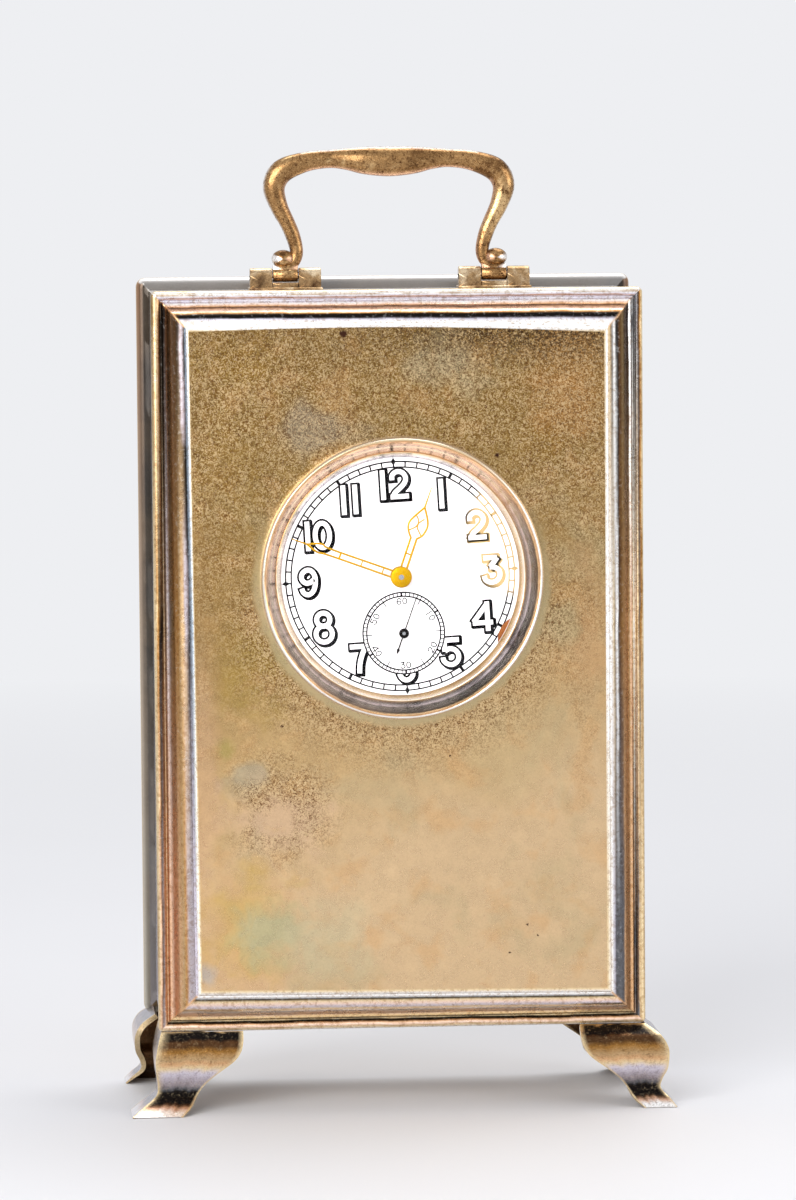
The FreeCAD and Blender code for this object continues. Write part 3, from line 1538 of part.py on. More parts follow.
# Back door, its hinges and its pull
# Two hinges on the right, each of three knuckles: the door has the middle one.
THIRD_LENGTH = "Size.knuckle_length / 3"
door_solids = [block(
    "door_plate", "2 * (Place.door_half - Size.door_gap)", "Size.door_sheet",
    "2 * (Place.door_tall_half - Size.door_gap)",
    "Size.door_gap - Place.door_half", "Place.door_front",
    "Place.middle - Place.door_tall_half + Size.door_gap",
)]
door_bores = []
frame_solids = []
frame_bores = []
pin_solids = []
for name, side in (("low", -1), ("high", 1)):
    hinge_z = f"Place.middle + {side} * Size.hinge_spacing / 2"
    door_low = f"{hinge_z} - {THIRD_LENGTH} / 2 + Size.side_fit / 2"
    door_tall = f"{THIRD_LENGTH} - Size.side_fit"
    door_solids += [
        block(
            f"strap_{name}", "Size.strap_reach", "Place.strap_back - Place.door_front", door_tall,
            "Place.door_half - Size.door_gap - Size.strap_reach", "Place.door_front", door_low,
        ),
        block(
            f"strap_over_{name}", "Place.hinge_x - Place.door_half + Size.door_gap + Size.strap_sheet",
            "Size.strap_sheet", door_tall,
            "Place.door_half - Size.door_gap - Size.strap_sheet", "Place.back + Size.side_fit", door_low,
        ),
        rod(
            f"door_knuckle_{name}", "Size.knuckle_radius", door_tall,
            "Place.hinge_x", "Place.hinge_y", door_low, Rotation(),
        ),
    ]
    door_bores.append(rod(
        f"door_bore_{name}", "Size.knuckle_pin + Size.running_fit", "Size.knuckle_length",
        "Place.hinge_x", "Place.hinge_y", f"{hinge_z} - Size.knuckle_length / 2", Rotation(),
    ))
    pin_solids.append(rod(
        f"hinge_pin_{name}", "Size.knuckle_pin", "Size.knuckle_length",
        "Place.hinge_x", "Place.hinge_y", f"{hinge_z} - Size.knuckle_length / 2", Rotation(),
    ))
    frame_bores.append(rod(
        f"frame_bore_{name}", "Size.knuckle_pin + Size.seat_fit", "2 * Size.knuckle_length",
        "Place.hinge_x", "Place.hinge_y", f"{hinge_z} - Size.knuckle_length", Rotation(),
    ))
    for end, low in (
        ("under", f"{hinge_z} - Size.knuckle_length / 2"),
        ("over", f"{hinge_z} + {THIRD_LENGTH} / 2 + Size.side_fit / 2"),
    ):
        tall = f"{THIRD_LENGTH} - Size.side_fit / 2"
        frame_solids.append(fused(
            f"frame_knuckle_{name}_{end}",
            block(
                f"pad_{name}_{end}", "Place.hinge_x + Size.knuckle_radius - Place.door_half - Size.side_fit",
                "Place.hinge_y - Place.back", tall,
                "Place.door_half + Size.side_fit", "Place.back", low,
            ),
            rod(
                f"barrel_{name}_{end}", "Size.knuckle_radius", tall,
                "Place.hinge_x", "Place.hinge_y", low, Rotation(),
            ),
        ))

keep(cut("door", fused("door_joined", *door_solids), *door_bores), "back_door")


def group(name, *pieces):
    """Several separate solids as one object."""
    piece = doc.addObject("Part::Compound", name)
    piece.Links = list(pieces)
    return piece


keep(cut("frame_knuckles", group("frame_knuckle_set", *frame_solids), *frame_bores), "door_hinge_knuckles")
keep(group("hinge_pins", *pin_solids), "door_hinge_pins")

DOOR_BACK = "Place.door_front + Size.door_sheet"
PULL_X = "Size.pull_inset - Place.door_half"
keep(fused(
    "pull",
    rod("pull_stem", "Size.pull_stem", "Size.pull_reach", PULL_X, DOOR_BACK, "Place.middle"),
    rod(
        "pull_head", "Size.pull_radius", "Size.pull_reach / 2", PULL_X,
        f"{DOOR_BACK} + Size.pull_reach / 2", "Place.middle",
    ),
), "door_pull")

# Handle and its lugs
# A cast bow. Rows go from the middle of the bar out and down one arm: shares of the half
# width, of the rise above the hinge, and of the belly's half thickness.
HANDLE_SHARES = (
    (0.000, 0.975, 1.00),
    (0.213, 0.985, 0.92),
    (0.365, 0.998, 0.73),
    (0.522, 1.000, 0.61),
    (0.724, 0.977, 0.67),
    (0.927, 0.899, 0.80),
    (1.000, 0.767, 0.75),
    (0.962, 0.603, 0.61),
    (0.886, 0.448, 0.52),
    (0.841, 0.339, 0.50),
    (0.810, 0.218, 0.45),
    (0.820, 0.149, 0.43),
    (0.866, 0.101, 0.41),
    (0.911, 0.096, 0.37),
)
HANDLE_DEPTH_SHARE = 0.78
TAB_SHARE = 1.6


def handle():
    """The bow: one smooth round bar, a scroll at each foot, and a knuckle on each hinge pin."""
    half = [
        (across * mm("handle_half"), up * mm("handle_rise"), thick * mm("handle_belly"))
        for across, up, thick in HANDLE_SHARES
    ]
    rows = half[::-1] + [(-x, z, thick) for x, z, thick in half[1:]]
    wires = []
    for k, (x, z, thick) in enumerate(rows):
        before = rows[max(k - 1, 0)]
        after = rows[min(k + 1, len(rows) - 1)]
        run = Vector(after[0] - before[0], 0, after[1] - before[1]).normalize()
        middle = Vector(x, 0, z)
        side = Vector(-run.z, 0, run.x) * thick
        across = Vector(0, thick * HANDLE_DEPTH_SHARE, 0)
        wires.append(Part.Wire([Part.Ellipse(middle + side, middle + across, middle).toShape()]))
    bow = Part.makeLoft(wires, True, False)
    width = mm("tab_width")
    sheet = mm("tab_sheet")
    knuckle = mm("lug_knuckle")
    pieces = []
    cuts = []
    for side in (-1, 1):
        x = side * mm("handle_seat")
        pieces.append(Part.makeCylinder(knuckle, width, Vector(x - width / 2, 0, 0), Vector(1, 0, 0)))
        pieces.append(Part.makeBox(width, sheet, TAB_SHARE * knuckle, Vector(x - width / 2, -sheet / 2, 0)))
        pieces.append(Part.makeSphere(
            mm("scroll_radius"), Vector(x + side * mm("scroll_out"), 0, mm("scroll_up")),
        ))
        cuts.append(Part.makeCylinder(
            mm("lug_pin") + mm("running_fit"), 2 * width, Vector(x - width, 0, 0), Vector(1, 0, 0),
        ))
    return bow.fuse(pieces).cut(cuts)


keep(feature("handle_cast", handle(), 0, at("lug_y"), at("lug_z")), "handle")

for name, side in (("left", -1), ("right", 1)):
    lug_x = f"{side} * Size.handle_seat"
    reach = "Size.lug_width / 2 - Size.lug_step"
    cheeks = []
    for end, start in (
        ("inner", f"{lug_x} - ({reach})"),
        ("outer", f"{lug_x} + Size.tab_width / 2 + Size.side_fit"),
    ):
        long = f"{reach} - Size.tab_width / 2 - Size.side_fit"
        cheeks += [
            block(
                f"cheek_{name}_{end}", long, "2 * Size.lug_knuckle", "Place.lug_z - Place.lug_foot",
                start, "Place.lug_y - Size.lug_knuckle", "Place.lug_foot",
            ),
            rod(
                f"cheek_top_{name}_{end}", "Size.lug_knuckle", long,
                start, "Place.lug_y", "Place.lug_z", ALONG_X,
            ),
        ]
    base = block(
        f"lug_base_{name}", "Size.lug_width", "Size.lug_depth", "Size.lug_base",
        f"{lug_x} - Size.lug_width / 2", "Place.lug_y - Size.lug_depth / 2", "Place.lug_foot",
    )
    pin_bore = rod(
        f"lug_bore_{name}", "Size.lug_pin + Size.seat_fit", "2 * Size.lug_width",
        f"{lug_x} - Size.lug_width", "Place.lug_y", "Place.lug_z", ALONG_X,
    )
    keep(cut(f"lug_{name}", fused(f"lug_joined_{name}", base, *cheeks), pin_bore), f"handle_lug_{name}")

keep(group("lug_pin_set", *[
    rod(
        f"lug_pin_{k}", "Size.lug_pin", "Size.lug_width - 2 * Size.lug_step",
        f"{side} * Size.handle_seat - Size.lug_width / 2 + Size.lug_step",
        "Place.lug_y", "Place.lug_z", ALONG_X,
    )
    for k, side in enumerate((-1, 1))
]), "lug_pins")

# Checks and export
doc.recompute()
for item in doc.Objects:
    if "Invalid" in item.State or "Error" in item.State:
        raise RuntimeError(f"{item.Label} is {item.State}")
for piece in NODES:
    if piece.Shape.isNull() or not piece.Shape.isValid():
        raise RuntimeError(f"{piece.Label} has no valid shape")

os.makedirs("parts", exist_ok=True)
for piece in NODES:
    piece.Shape.exportStep(os.path.join("parts", piece.Label + ".step"))
print(len(NODES), "nodes")
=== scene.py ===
# %% [markdown]
# # A silver-cased table clock, dressed for the camera
#
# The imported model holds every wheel, plate and screw of the clock in its true place. This lesson
# puts the seen surfaces over it: the pressed silver front, the bent feet, the cast handle, the
# enamel dial with its print, and the gilt hands. The hidden movement keeps its solids and gets
# finishes of its own.

import math

import bmesh
import bpy
import mathutils
import numpy as np
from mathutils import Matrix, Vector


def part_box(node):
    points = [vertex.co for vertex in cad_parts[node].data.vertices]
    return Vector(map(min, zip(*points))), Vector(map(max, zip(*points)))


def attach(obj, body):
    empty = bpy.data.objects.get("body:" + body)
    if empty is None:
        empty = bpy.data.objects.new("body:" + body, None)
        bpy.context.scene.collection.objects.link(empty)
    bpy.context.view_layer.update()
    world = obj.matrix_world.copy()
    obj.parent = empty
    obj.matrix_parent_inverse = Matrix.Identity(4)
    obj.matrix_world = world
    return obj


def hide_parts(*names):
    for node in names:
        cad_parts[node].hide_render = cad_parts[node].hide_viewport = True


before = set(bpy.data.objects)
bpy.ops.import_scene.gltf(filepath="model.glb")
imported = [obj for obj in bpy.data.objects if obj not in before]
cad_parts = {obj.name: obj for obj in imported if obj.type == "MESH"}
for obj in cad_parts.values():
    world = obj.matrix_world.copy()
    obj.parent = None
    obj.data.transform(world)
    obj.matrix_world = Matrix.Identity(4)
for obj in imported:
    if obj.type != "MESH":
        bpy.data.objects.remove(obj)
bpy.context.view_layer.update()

# %% [markdown]
# ## Places read from the frame
#
# A piece is laid out in millimetres, as a clockmaker would, and turned into metres in one place,
# where its mesh is made. The main places are read from the boxes of the solids, so that nothing
# has to be fitted by eye.

# %% Read the main places
MM = 0.001


def box_mm(node):
    """The lowest and highest corner of a solid, in millimetres."""
    low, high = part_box(node)
    return np.array(low) / MM, np.array(high) / MM


BEAD = 0.8
front_low, front_high = box_mm("case_front")
HALF_WIDTH = front_high[0]
HALF_HEIGHT = (front_high[2] - front_low[2]) / 2
MIDDLE = (front_high[2] + front_low[2]) / 2
PANEL_Y = front_low[1] + 0.01
FRONT_Y = front_high[1] - 2 * BEAD
bezel_low, bezel_high = box_mm("bezel")
DIAL_Z = (bezel_low[2] + bezel_high[2]) / 2
DIAL_Y = box_mm("dial")[0][1]
print("front", HALF_WIDTH, HALF_HEIGHT, MIDDLE, FRONT_Y, PANEL_Y, "dial", DIAL_Z, DIAL_Y)

# %% [markdown]
# ## From grids of points to meshes
#
# Each surface is a grid: rows and columns of points worked out with numpy. A closed surface
# repeats its first row or column at the end, a pole is a row whose points are all the same, and
# two patches meet where their edges share points. Merging doubles then closes every seam.
# Editing by hand could do the same, but a formula can be changed and run again.

# %% One maker for all surfaces
MERGE = 2e-7


def grid_faces(rows, columns, start):
    """The corner numbers of the quads of a grid whose points are counted row by row."""
    corner = start + np.arange((rows - 1) * columns).reshape(rows - 1, columns)[:, :-1]
    four = [corner, corner + 1, corner + 1 + columns, corner + columns]
    return np.stack(four, axis=-1).reshape(-1, 4)


def put(name, data):
    """An object in the scene for a mesh, a lamp or a camera."""
    made = bpy.data.objects.new(name, data)
    bpy.context.scene.collection.objects.link(made)
    return made


def make_piece(name, grids, finish, body, replaces=(), tones=None, sharp=35, sheet=0.0):
    """One object of one or more grids in millimetres, closed by merging doubles, its faces turned
    outwards. tones gives each point a colour and a share, and sheet a flat piece's thickness."""
    starts = np.cumsum([0] + [g.shape[0] * g.shape[1] for g in grids])
    points = np.concatenate([g.reshape(-1, 3) for g in grids]) * MM
    faces = np.concatenate([grid_faces(*g.shape[:2], s) for g, s in zip(grids, starts)])
    mesh = bpy.data.meshes.new(name)
    mesh.from_pydata(points.tolist(), [], faces.tolist())
    if tones is not None:
        # The carried colour is patina together with painted reflections, highlights and shade.
        carried = np.concatenate([t.reshape(-1, 4) for t in tones]).astype(np.float32)
        layer = mesh.attributes.new("patina_and_painted_light", "FLOAT_COLOR", "POINT")
        layer.data.foreach_set("color", carried.ravel())
    shell = bmesh.new()
    shell.from_mesh(mesh)
    bmesh.ops.remove_doubles(shell, verts=shell.verts, dist=MERGE)
    bmesh.ops.dissolve_degenerate(shell, dist=MERGE, edges=shell.edges)
    if not sheet:
        bmesh.ops.recalc_face_normals(shell, faces=shell.faces)
    shell.to_mesh(mesh)
    shell.free()
    mesh.materials.append(finish)
    made = put(name, mesh)
    if sheet:
        wall = made.modifiers.new("Wall", "SOLIDIFY")
        wall.thickness = sheet * MM
        wall.offset = -1.0
    else:
        mesh.shade_smooth()
        mesh.set_sharp_from_angle(angle=math.radians(sharp))
    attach(made, body)
    if replaces:
        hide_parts(*replaces)
    print(name, len(mesh.vertices), "points")


# %% Curves that profiles and paths are made of
def arc_through(start, middle, end, count):
    """Points on the circle through three points; its centre is equally far from all three."""
    a, b, c = (complex(*p) for p in (start, middle, end))
    w = (c - a) / (b - a)
    centre = a + (b - a) * (w - abs(w) ** 2) / (w - w.conjugate())
    first, through, last = (np.angle(corner - centre) for corner in (a, b, c))
    turn = (last - first) % (2 * np.pi)
    if (through - first) % (2 * np.pi) > turn:
        turn -= 2 * np.pi
    ring = centre + abs(a - centre) * np.exp(1j * (first + np.linspace(0, turn, count)))
    return np.stack([ring.real, ring.imag], axis=1)


def curve_through(points, count):
    """A smooth path through points: between two of them a cubic whose slope at each is half the step
    between its neighbours."""
    p = np.asarray(points, float)
    q = np.vstack([2 * p[0] - p[1], p, 2 * p[-1] - p[-2]])
    t = np.linspace(0, len(p) - 1, count)
    k = np.minimum(t.astype(int), len(p) - 2)
    f = (t - k)[:, None]
    a, b, c, d = q[k], q[k + 1], q[k + 2], q[k + 3]
    square, cube = 2 * a - 5 * b + 4 * c - d, 3 * b - 3 * c + d - a
    return 0.5 * (2 * b + (c - a) * f + square * f ** 2 + cube * f ** 3)


def evenly(path, count):
    """The same path with its points evenly spaced along its length."""
    run = np.concatenate([[0.0], np.cumsum(np.linalg.norm(np.diff(path, axis=0), axis=1))])
    goal = np.linspace(0, run[-1], count)
    return np.stack([np.interp(goal, run, path[:, k]) for k in range(path.shape[1])], axis=1)


def turned(profile, centre_x, centre_z, columns=128):
    """A lathe: each point (radius, y) of a profile is carried round an axis along Y."""
    angle = np.linspace(0, 2 * np.pi, columns + 1)
    radius, y = profile[:, 0, None], profile[:, 1, None]
    return np.stack([centre_x + radius * np.cos(angle), y + 0 * angle,
                     centre_z + radius * np.sin(angle)], axis=-1)


def swept(path, half_width, half_depth, count=24):
    """An oval section carried along a path in an upright plane, closed by a pole at each end. The
    section stands square to the path, its depth along Y."""
    across = np.array([0.0, 1.0, 0.0])
    tangent = np.gradient(path, axis=0)
    tangent /= np.linalg.norm(tangent, axis=1)[:, None]
    side = np.cross(across, tangent)
    side /= np.linalg.norm(side, axis=1)[:, None]
    angle = np.linspace(0, 2 * np.pi, count + 1)[None, :, None]
    wide, deep = (np.broadcast_to(half, len(path))[:, None, None] for half in (half_width, half_depth))
    tube = path[:, None] + side[:, None] * np.cos(angle) * wide + across * np.sin(angle) * deep
    first, last = (np.repeat(end[:, None], count + 1, axis=1) for end in (path[:1], path[-1:]))
    return np.concatenate([first, tube, last])


# %% [markdown]
# ## Finishes
#
# A finish is a node tree. A small helper adds a node and wires its sockets, so that each finish
# reads as a recipe: where the pattern sits, how it varies, and how it changes colour, gloss and
# relief. Patterns use object coordinates, because every piece's object sits at the origin.

# %% Helpers for node trees
def tone(red, green, blue):
    """A colour as seen on a screen, 0 to 255, in the linear numbers that a shader takes."""
    share = np.array([red, green, blue]) / 255.0
    linear = np.where(share <= 0.04045, share / 12.92, ((share + 0.055) / 1.055) ** 2.4)
    return (*linear.tolist(), 1.0)


class Tree:
    """A node tree, with short ways to add what the finishes and the world need."""

    def __init__(self, tree):
        self.tree = tree

    def add(self, kind, inputs=(), **options):
        """A node: options are its settings; inputs gives a socket a number, a colour or an output."""
        node = self.tree.nodes.new(kind)
        for key, value in options.items():
            setattr(node, key, value)
        for key, value in dict(inputs).items():
            if isinstance(value, bpy.types.NodeSocket):
                self.tree.links.new(value, node.inputs[key])
            else:
                node.inputs[key].default_value = value
        return node

    def math(self, operation, a, b=0.0):
        """One sum of two values."""
        return self.add("ShaderNodeMath", {0: a, 1: b}, operation=operation).outputs[0]

    def mix(self, share, a, b, blend="MIX"):
        """Two colours mixed by a share."""
        return self.add("ShaderNodeMix", {"Factor": share, 6: a, 7: b}, data_type="RGBA",
                        blend_type=blend).outputs[2]

    def pale_rays(self):
        """One for a ray that the camera, a mirror or a glass sends out, and zero for the rest."""
        path = self.add("ShaderNodeLightPath").outputs
        seen = self.math("MAXIMUM", path["Is Camera Ray"], path["Is Glossy Ray"])
        return self.math("MAXIMUM", seen, path["Is Transmission Ray"])


class Recipe(Tree):
    """A material's node tree, with one Principled shader."""

    def __init__(self, name, **fixed):
        self.material = bpy.data.materials.new(name)
        self.material.use_nodes = True
        super().__init__(self.material.node_tree)
        self.shader = self.tree.nodes["Principled BSDF"]
        for socket, value in fixed.items():
            self.shader.inputs[socket.replace("_", " ")].default_value = value
        self.place = self.add("ShaderNodeTexCoord").outputs["Object"]

    def finished(self, **outputs):
        """The material, once the named sockets of its shader are wired to outputs."""
        for socket, output in outputs.items():
            self.tree.links.new(output, self.shader.inputs[socket.replace("_", " ")])
        return self.material

    def give_way(self, share, other):
        """The material, its surface changed by a share to another shader's."""
        inputs = {0: share, 1: self.shader.outputs[0], 2: other.outputs[0]}
        both = self.add("ShaderNodeMixShader", inputs)
        self.tree.links.new(both.outputs[0], self.tree.nodes["Material Output"].inputs["Surface"])
        return self.material

    def noise(self, scale, detail=3.0, rough=0.55, distortion=0.0, stretch=(1, 1, 1), shift=(0, 0, 0)):
        """Cloudy noise; scale is in patches per metre, stretch multiplies it along each axis."""
        where = self.add("ShaderNodeMapping", {0: self.place, "Scale": stretch, "Location": shift})
        return self.add("ShaderNodeTexNoise", {
            "Vector": where.outputs[0], "Scale": scale, "Detail": detail, "Roughness": rough,
            "Distortion": distortion,
        }).outputs["Fac"]

    def ramp(self, value, *stops):
        """A soft colour ramp: each stop is a place and a colour."""
        node = self.add("ShaderNodeValToRGB", {"Fac": value})
        band = node.color_ramp
        band.interpolation = "EASE"
        while len(band.elements) < len(stops):
            band.elements.new(0.5)
        for element, (place, colour) in zip(band.elements, stops):
            element.position, element.color = place, colour
        return node.outputs["Color"]

    def range(self, value, low, high, to_low=0.0, to_high=1.0):
        """A value carried from one range to another, clamped."""
        return self.add("ShaderNodeMapRange", {
            "Value": value, "From Min": low, "From Max": high, "To Min": to_low, "To Max": to_high,
        }).outputs[0]

    def times(self, a, b):
        """Two values multiplied."""
        return self.math("MULTIPLY", a, b)

    def shaken(self, value, noise, amount):
        """A value moved up and down by a noise."""
        return self.math("ADD", value, self.times(self.math("SUBTRACT", noise, 0.5), amount))

    def vector(self, operation, a, b=(0, 0, 0)):
        """One sum of two vectors: a vector, or the value of a length or a distance."""
        node = self.add("ShaderNodeVectorMath", {0: a, 1: b}, operation=operation)
        return node.outputs["Value" if operation in ("LENGTH", "DISTANCE") else "Vector"]

    def oval(self, across, up, wide, tall):
        """How far a point seen from the front lies from the middle of an oval: 1 on its edge."""
        away = self.vector("ADD", self.place, (-across * MM, 0.0, -up * MM))
        shares = self.vector("MULTIPLY", away, (1 / (wide * MM), 0.0, 1 / (tall * MM)))
        return self.vector("LENGTH", shares)

    def bump(self, height, depth, strength=1.0, below=None):
        """Relief: height 0 to 1 over a depth in millimetres."""
        inputs = {"Height": height, "Distance": depth * MM, "Strength": strength}
        if below is not None:
            inputs["Normal"] = below
        return self.add("ShaderNodeBump", inputs).outputs["Normal"]


# %% [markdown]
# ### Tarnished silver
#
# Old silver is bright where hands and polish reach it, golden tan over the flats, and brown to
# black in the hollows. Where a colour follows the form, as in the hollow of a moulding, each point
# of the mesh carries it, worked out from a few named tones. These carried tones also hold painted
# light: painted reflections of dark and bright surroundings, painted highlights on rims and
# crests, and painted shade in grooves and under the case. The shader adds what has no form:
# cloudy patches, a leathery grain of fine flecks, specks and hair scratches.

# %% The tones of old silver and of its painted light and shade
WHITE = tone(253, 251, 249)
CREAM = tone(232, 208, 164)
TAN = tone(184, 152, 110)
ROSE = tone(208, 166, 138)
OLIVE = tone(132, 106, 54)
UMBER = tone(84, 56, 32)
# A near black for painted shade, painted shadow and dark painted reflections.
BLACK_SHADE = tone(20, 14, 12)
SLATE = tone(92, 92, 96)
LILAC = tone(214, 208, 222)
COOL = tone(168, 182, 196)
OCHRE = tone(158, 112, 54)
PEACH = tone(214, 168, 122)
MAUVE = tone(160, 150, 154)
SHELL = tone(255, 226, 208)
AMBER = tone(255, 222, 166)
FLECK = tone(118, 86, 54)


def tones_at(stops, place):
    """The tone at each place: between two stops it changes evenly."""
    places = [stop[0] for stop in stops]
    colours = np.array([stop[1][:3] for stop in stops])
    return np.stack([np.interp(place, places, colours[:, k]) for k in range(3)], axis=-1)


def wander(place, seed):
    """A slow waver from -1 to 1 along a place in millimetres: three waves of unlike length."""
    waves = ((1.0, 0.23, 1.0), (0.6, 0.61, 2.1), (0.5, 1.37, 3.7))
    return sum(size * np.sin(place * pace + start * seed) for size, pace, start in waves) / 2.1


def bell(value, middle, width):
    """A smooth hump: one at the middle, falling away over the width."""
    return np.exp(-((value - middle) / width) ** 2)


def painted(colour, other, share):
    """Colours that give way to one tone by a share for each point."""
    return colour * (1 - share) + np.array(other[:3]) * share


def with_share(colour, share):
    """Colours with a fourth number, the share with which they cover the shader's own colour."""
    return np.concatenate([colour, np.broadcast_to(share, colour.shape[:-1])[..., None]], axis=-1)


# %% Silver
def silver_finish(name, light, middle, dark, grain, rough, cloud, carried=False, metallic=0.9):
    """Silver: three tones in cloudy patches, any carried tone of patina and painted light, and flecks
    over them.
    """
    r = Recipe(name, Metallic=metallic)
    small = r.noise(cloud * 7, 3.0, 0.6, shift=(0.3, 0.1, 0.2))
    base = r.ramp(r.noise(cloud, 4.0, 0.6, 0.4), (0.34, dark), (0.50, middle), (0.66, light))
    if carried:
        own = r.add("ShaderNodeAttribute", attribute_name="patina_and_painted_light").outputs
        base = r.mix(own["Alpha"], base, own["Color"])
    fleck = r.noise(2400.0, 3.0, 0.6, 1.4)
    mask = r.times(r.range(fleck, 0.50, 0.60), r.range(small, 0.65, 0.35, 0.3 * grain, grain))
    base = r.mix(mask, base, FLECK, "MULTIPLY")
    base = r.mix(r.times(r.range(fleck, 0.42, 0.34), 0.35 * grain), base, light)
    return r.finished(Base_Color=base, Roughness=r.range(small, 0.3, 0.7, rough, rough + 0.12),
                      Normal=r.bump(fleck, 0.02, 0.15 + 0.3 * grain))


HANDLE_SILVER = silver_finish("handle_silver", tone(214, 180, 130), tone(160, 122, 78), tone(112, 78, 44),
                              1.0, 0.2, 120.0, carried=True)
LUG_SILVER = silver_finish("lug_silver", tone(228, 206, 172), tone(170, 138, 98), tone(84, 56, 34),
                           0.5, 0.18, 200.0)
FOOT_SILVER = silver_finish("foot_silver", CREAM, TAN, OLIVE, 0.5, 0.16, 120.0, carried=True)
BEZEL_SILVER = silver_finish("bezel_silver", CREAM, TAN, ROSE, 0.1, 0.14, 60.0, carried=True)
BODY_SILVER = silver_finish("case_silver", tone(206, 190, 162), TAN, tone(120, 98, 70), 0.1, 0.14, 45.0,
                            carried=True, metallic=0.4)
DOOR_SILVER = silver_finish("door_silver", tone(210, 192, 160), tone(186, 158, 116), tone(146, 116, 74),
                            0.45, 0.26, 45.0)


# %% Movement metals
def plain_metal(name, colour, other, rough, scale=400.0):
    """A worked metal: two close colours in fine cloud, and a slight grain."""
    r = Recipe(name, Metallic=1.0)
    cloud = r.noise(scale, 3.0, 0.6)
    return r.finished(Base_Color=r.mix(cloud, colour, other),
                      Roughness=r.range(cloud, 0.3, 0.7, rough, rough + 0.12),
                      Normal=r.bump(cloud, 0.01, 0.4))


BRASS = plain_metal("brass", tone(214, 178, 98), tone(188, 150, 76), 0.28)
STEEL = plain_metal("steel", tone(188, 190, 194), tone(150, 152, 158), 0.22)
BLUED = plain_metal("blued_steel", tone(30, 44, 92), tone(20, 26, 52), 0.22)
BLACKED = plain_metal("blacked_steel", tone(22, 21, 22), tone(34, 30, 28), 0.3)
GILT = plain_metal("gilt", tone(204, 160, 24), tone(164, 120, 8), 0.45, 900.0)
RUBY = Recipe("ruby", Base_Color=tone(150, 16, 40), Roughness=0.08).material

# %% [markdown]
# ### Enamel, print and glass
#
# The dial is fired white enamel, very slightly pink, with a soft clear gloss. Its print is a thin
# black layer. The glass is a clear, shallow dome.

# %% Enamel, print and glass
def enamel_finish():
    """White enamel with a faint orange-peel relief under a clear gloss."""
    r = Recipe("enamel", Roughness=0.25, Coat_Weight=0.3, Coat_Roughness=0.05)
    return r.finished(Base_Color=r.mix(r.noise(120.0, 2.0), tone(250, 244, 245), tone(254, 251, 250)),
                      Normal=r.bump(r.noise(900.0, 2.0), 0.01, 0.1))


def print_finish():
    """Fired black print, a little worn, and faded to tan in an oval by the two and the three."""
    r = Recipe("dial_print", Roughness=0.7, Specular_IOR_Level=0.1)
    black = r.mix(r.noise(3000.0, 3.0), tone(3, 3, 5), tone(20, 18, 22))
    faded = r.range(r.oval(19.0, DIAL_Z + 7.0, 8.2, 8.2 / 0.75), 1.0, 6.8 / 8.2, 0.0, 0.95)
    return r.finished(Base_Color=r.mix(faded, black, tone(190, 160, 110)))


def glass_finish():
    """Clear glass that lets lamplight through to the dial: a shadow ray meets nothing."""
    r = Recipe("crystal", Base_Color=(1, 1, 1, 1), Roughness=0.0, IOR=1.12, Transmission_Weight=1.0)
    shadow = r.add("ShaderNodeLightPath").outputs["Is Shadow Ray"]
    return r.give_way(shadow, r.add("ShaderNodeBsdfTransparent"))


ENAMEL = enamel_finish()
CHIP = plain_metal("bare_ground", tone(168, 104, 58), tone(132, 76, 40), 0.5, 900.0)
PRINT = print_finish()
GLASS = glass_finish()

# %% [markdown]
# ## The pressed front
#
# The front is one sheet of silver, pressed over a frame: an outer bead, a groove, a hollow
# moulding, small steps and the raised flat panel. A profile carried round a rectangle gives the
# moulding, with each row of points a smaller rectangle. Its corners are rounded outside and
# nearly sharp inside, which leaves the diagonal seam of a mitre. The same rows run on over the
# panel to the round opening, then back behind it, so that the sheet is closed.

# %% The profile of the moulding
MOULDING = 6.85
RISE = 4.5
PANEL_SHEET = 1.2


def moulding_profile():
    """Points (distance in from the outer edge, distance behind the bead) from the back, over the
    front, to the panel's edge: arcs where the sheet is round, and short straights between."""
    def at(*shares):
        return [(across * MOULDING, up * RISE) for across, up in shares]

    bead = arc_through((0, BEAD), (BEAD, 0), (2 * BEAD, BEAD), 12)
    hollow = curve_through(at((0.26, 0.178), (0.30, 0.06), (0.36, 0.01), (0.41, -0.08), (0.46, -0.26),
                              (0.52, -0.47), (0.60, -0.64), (0.70, -0.72), (0.80, -0.745)), 30)
    steps = curve_through(at((0.85, -0.75), (0.855, -0.83), (0.87, -0.85), (0.895, -0.85)), 8)
    edge = arc_through(*at((0.905, -0.87), (0.93, -0.965), (1.0, -0.998)), 12)
    return np.vstack([[(0, 2 * BEAD)], bead, hollow, steps, edge])


PROFILE = moulding_profile()
print("moulding", len(PROFILE), "points across")


# %% Rectangles with rounded corners
def rounded_rectangle(half_width, half_height, radius, per_side, per_corner=7):
    """Points round a rectangle, clockwise, with a quarter circle at each corner and points that crowd
    towards the corners. Each number may be an array, one for each row."""
    half_width, half_height, radius = (
        np.asarray(v, float)[..., None] for v in (half_width, half_height, radius)
    )
    quarter = np.linspace(0, np.pi / 2, per_corner)
    corners = []
    for right, up, start in ((1, 1, 90), (1, -1, 0), (-1, -1, -90), (-1, 1, -180)):
        angle = np.radians(start) - quarter
        corners.append(np.stack([right * (half_width - radius) + radius * np.cos(angle),
                                 up * (half_height - radius) + radius * np.sin(angle)]))
    corners.append(corners[0][..., :1])
    share = (0.5 - 0.5 * np.cos(np.linspace(0, np.pi, per_side + 1)))[1:-1]
    ring = corners[0]
    for corner in corners[1:]:
        line = ring[..., -1:] + (corner[..., :1] - ring[..., -1:]) * share
        ring = np.concatenate([ring, line, corner], axis=-1)
    return ring


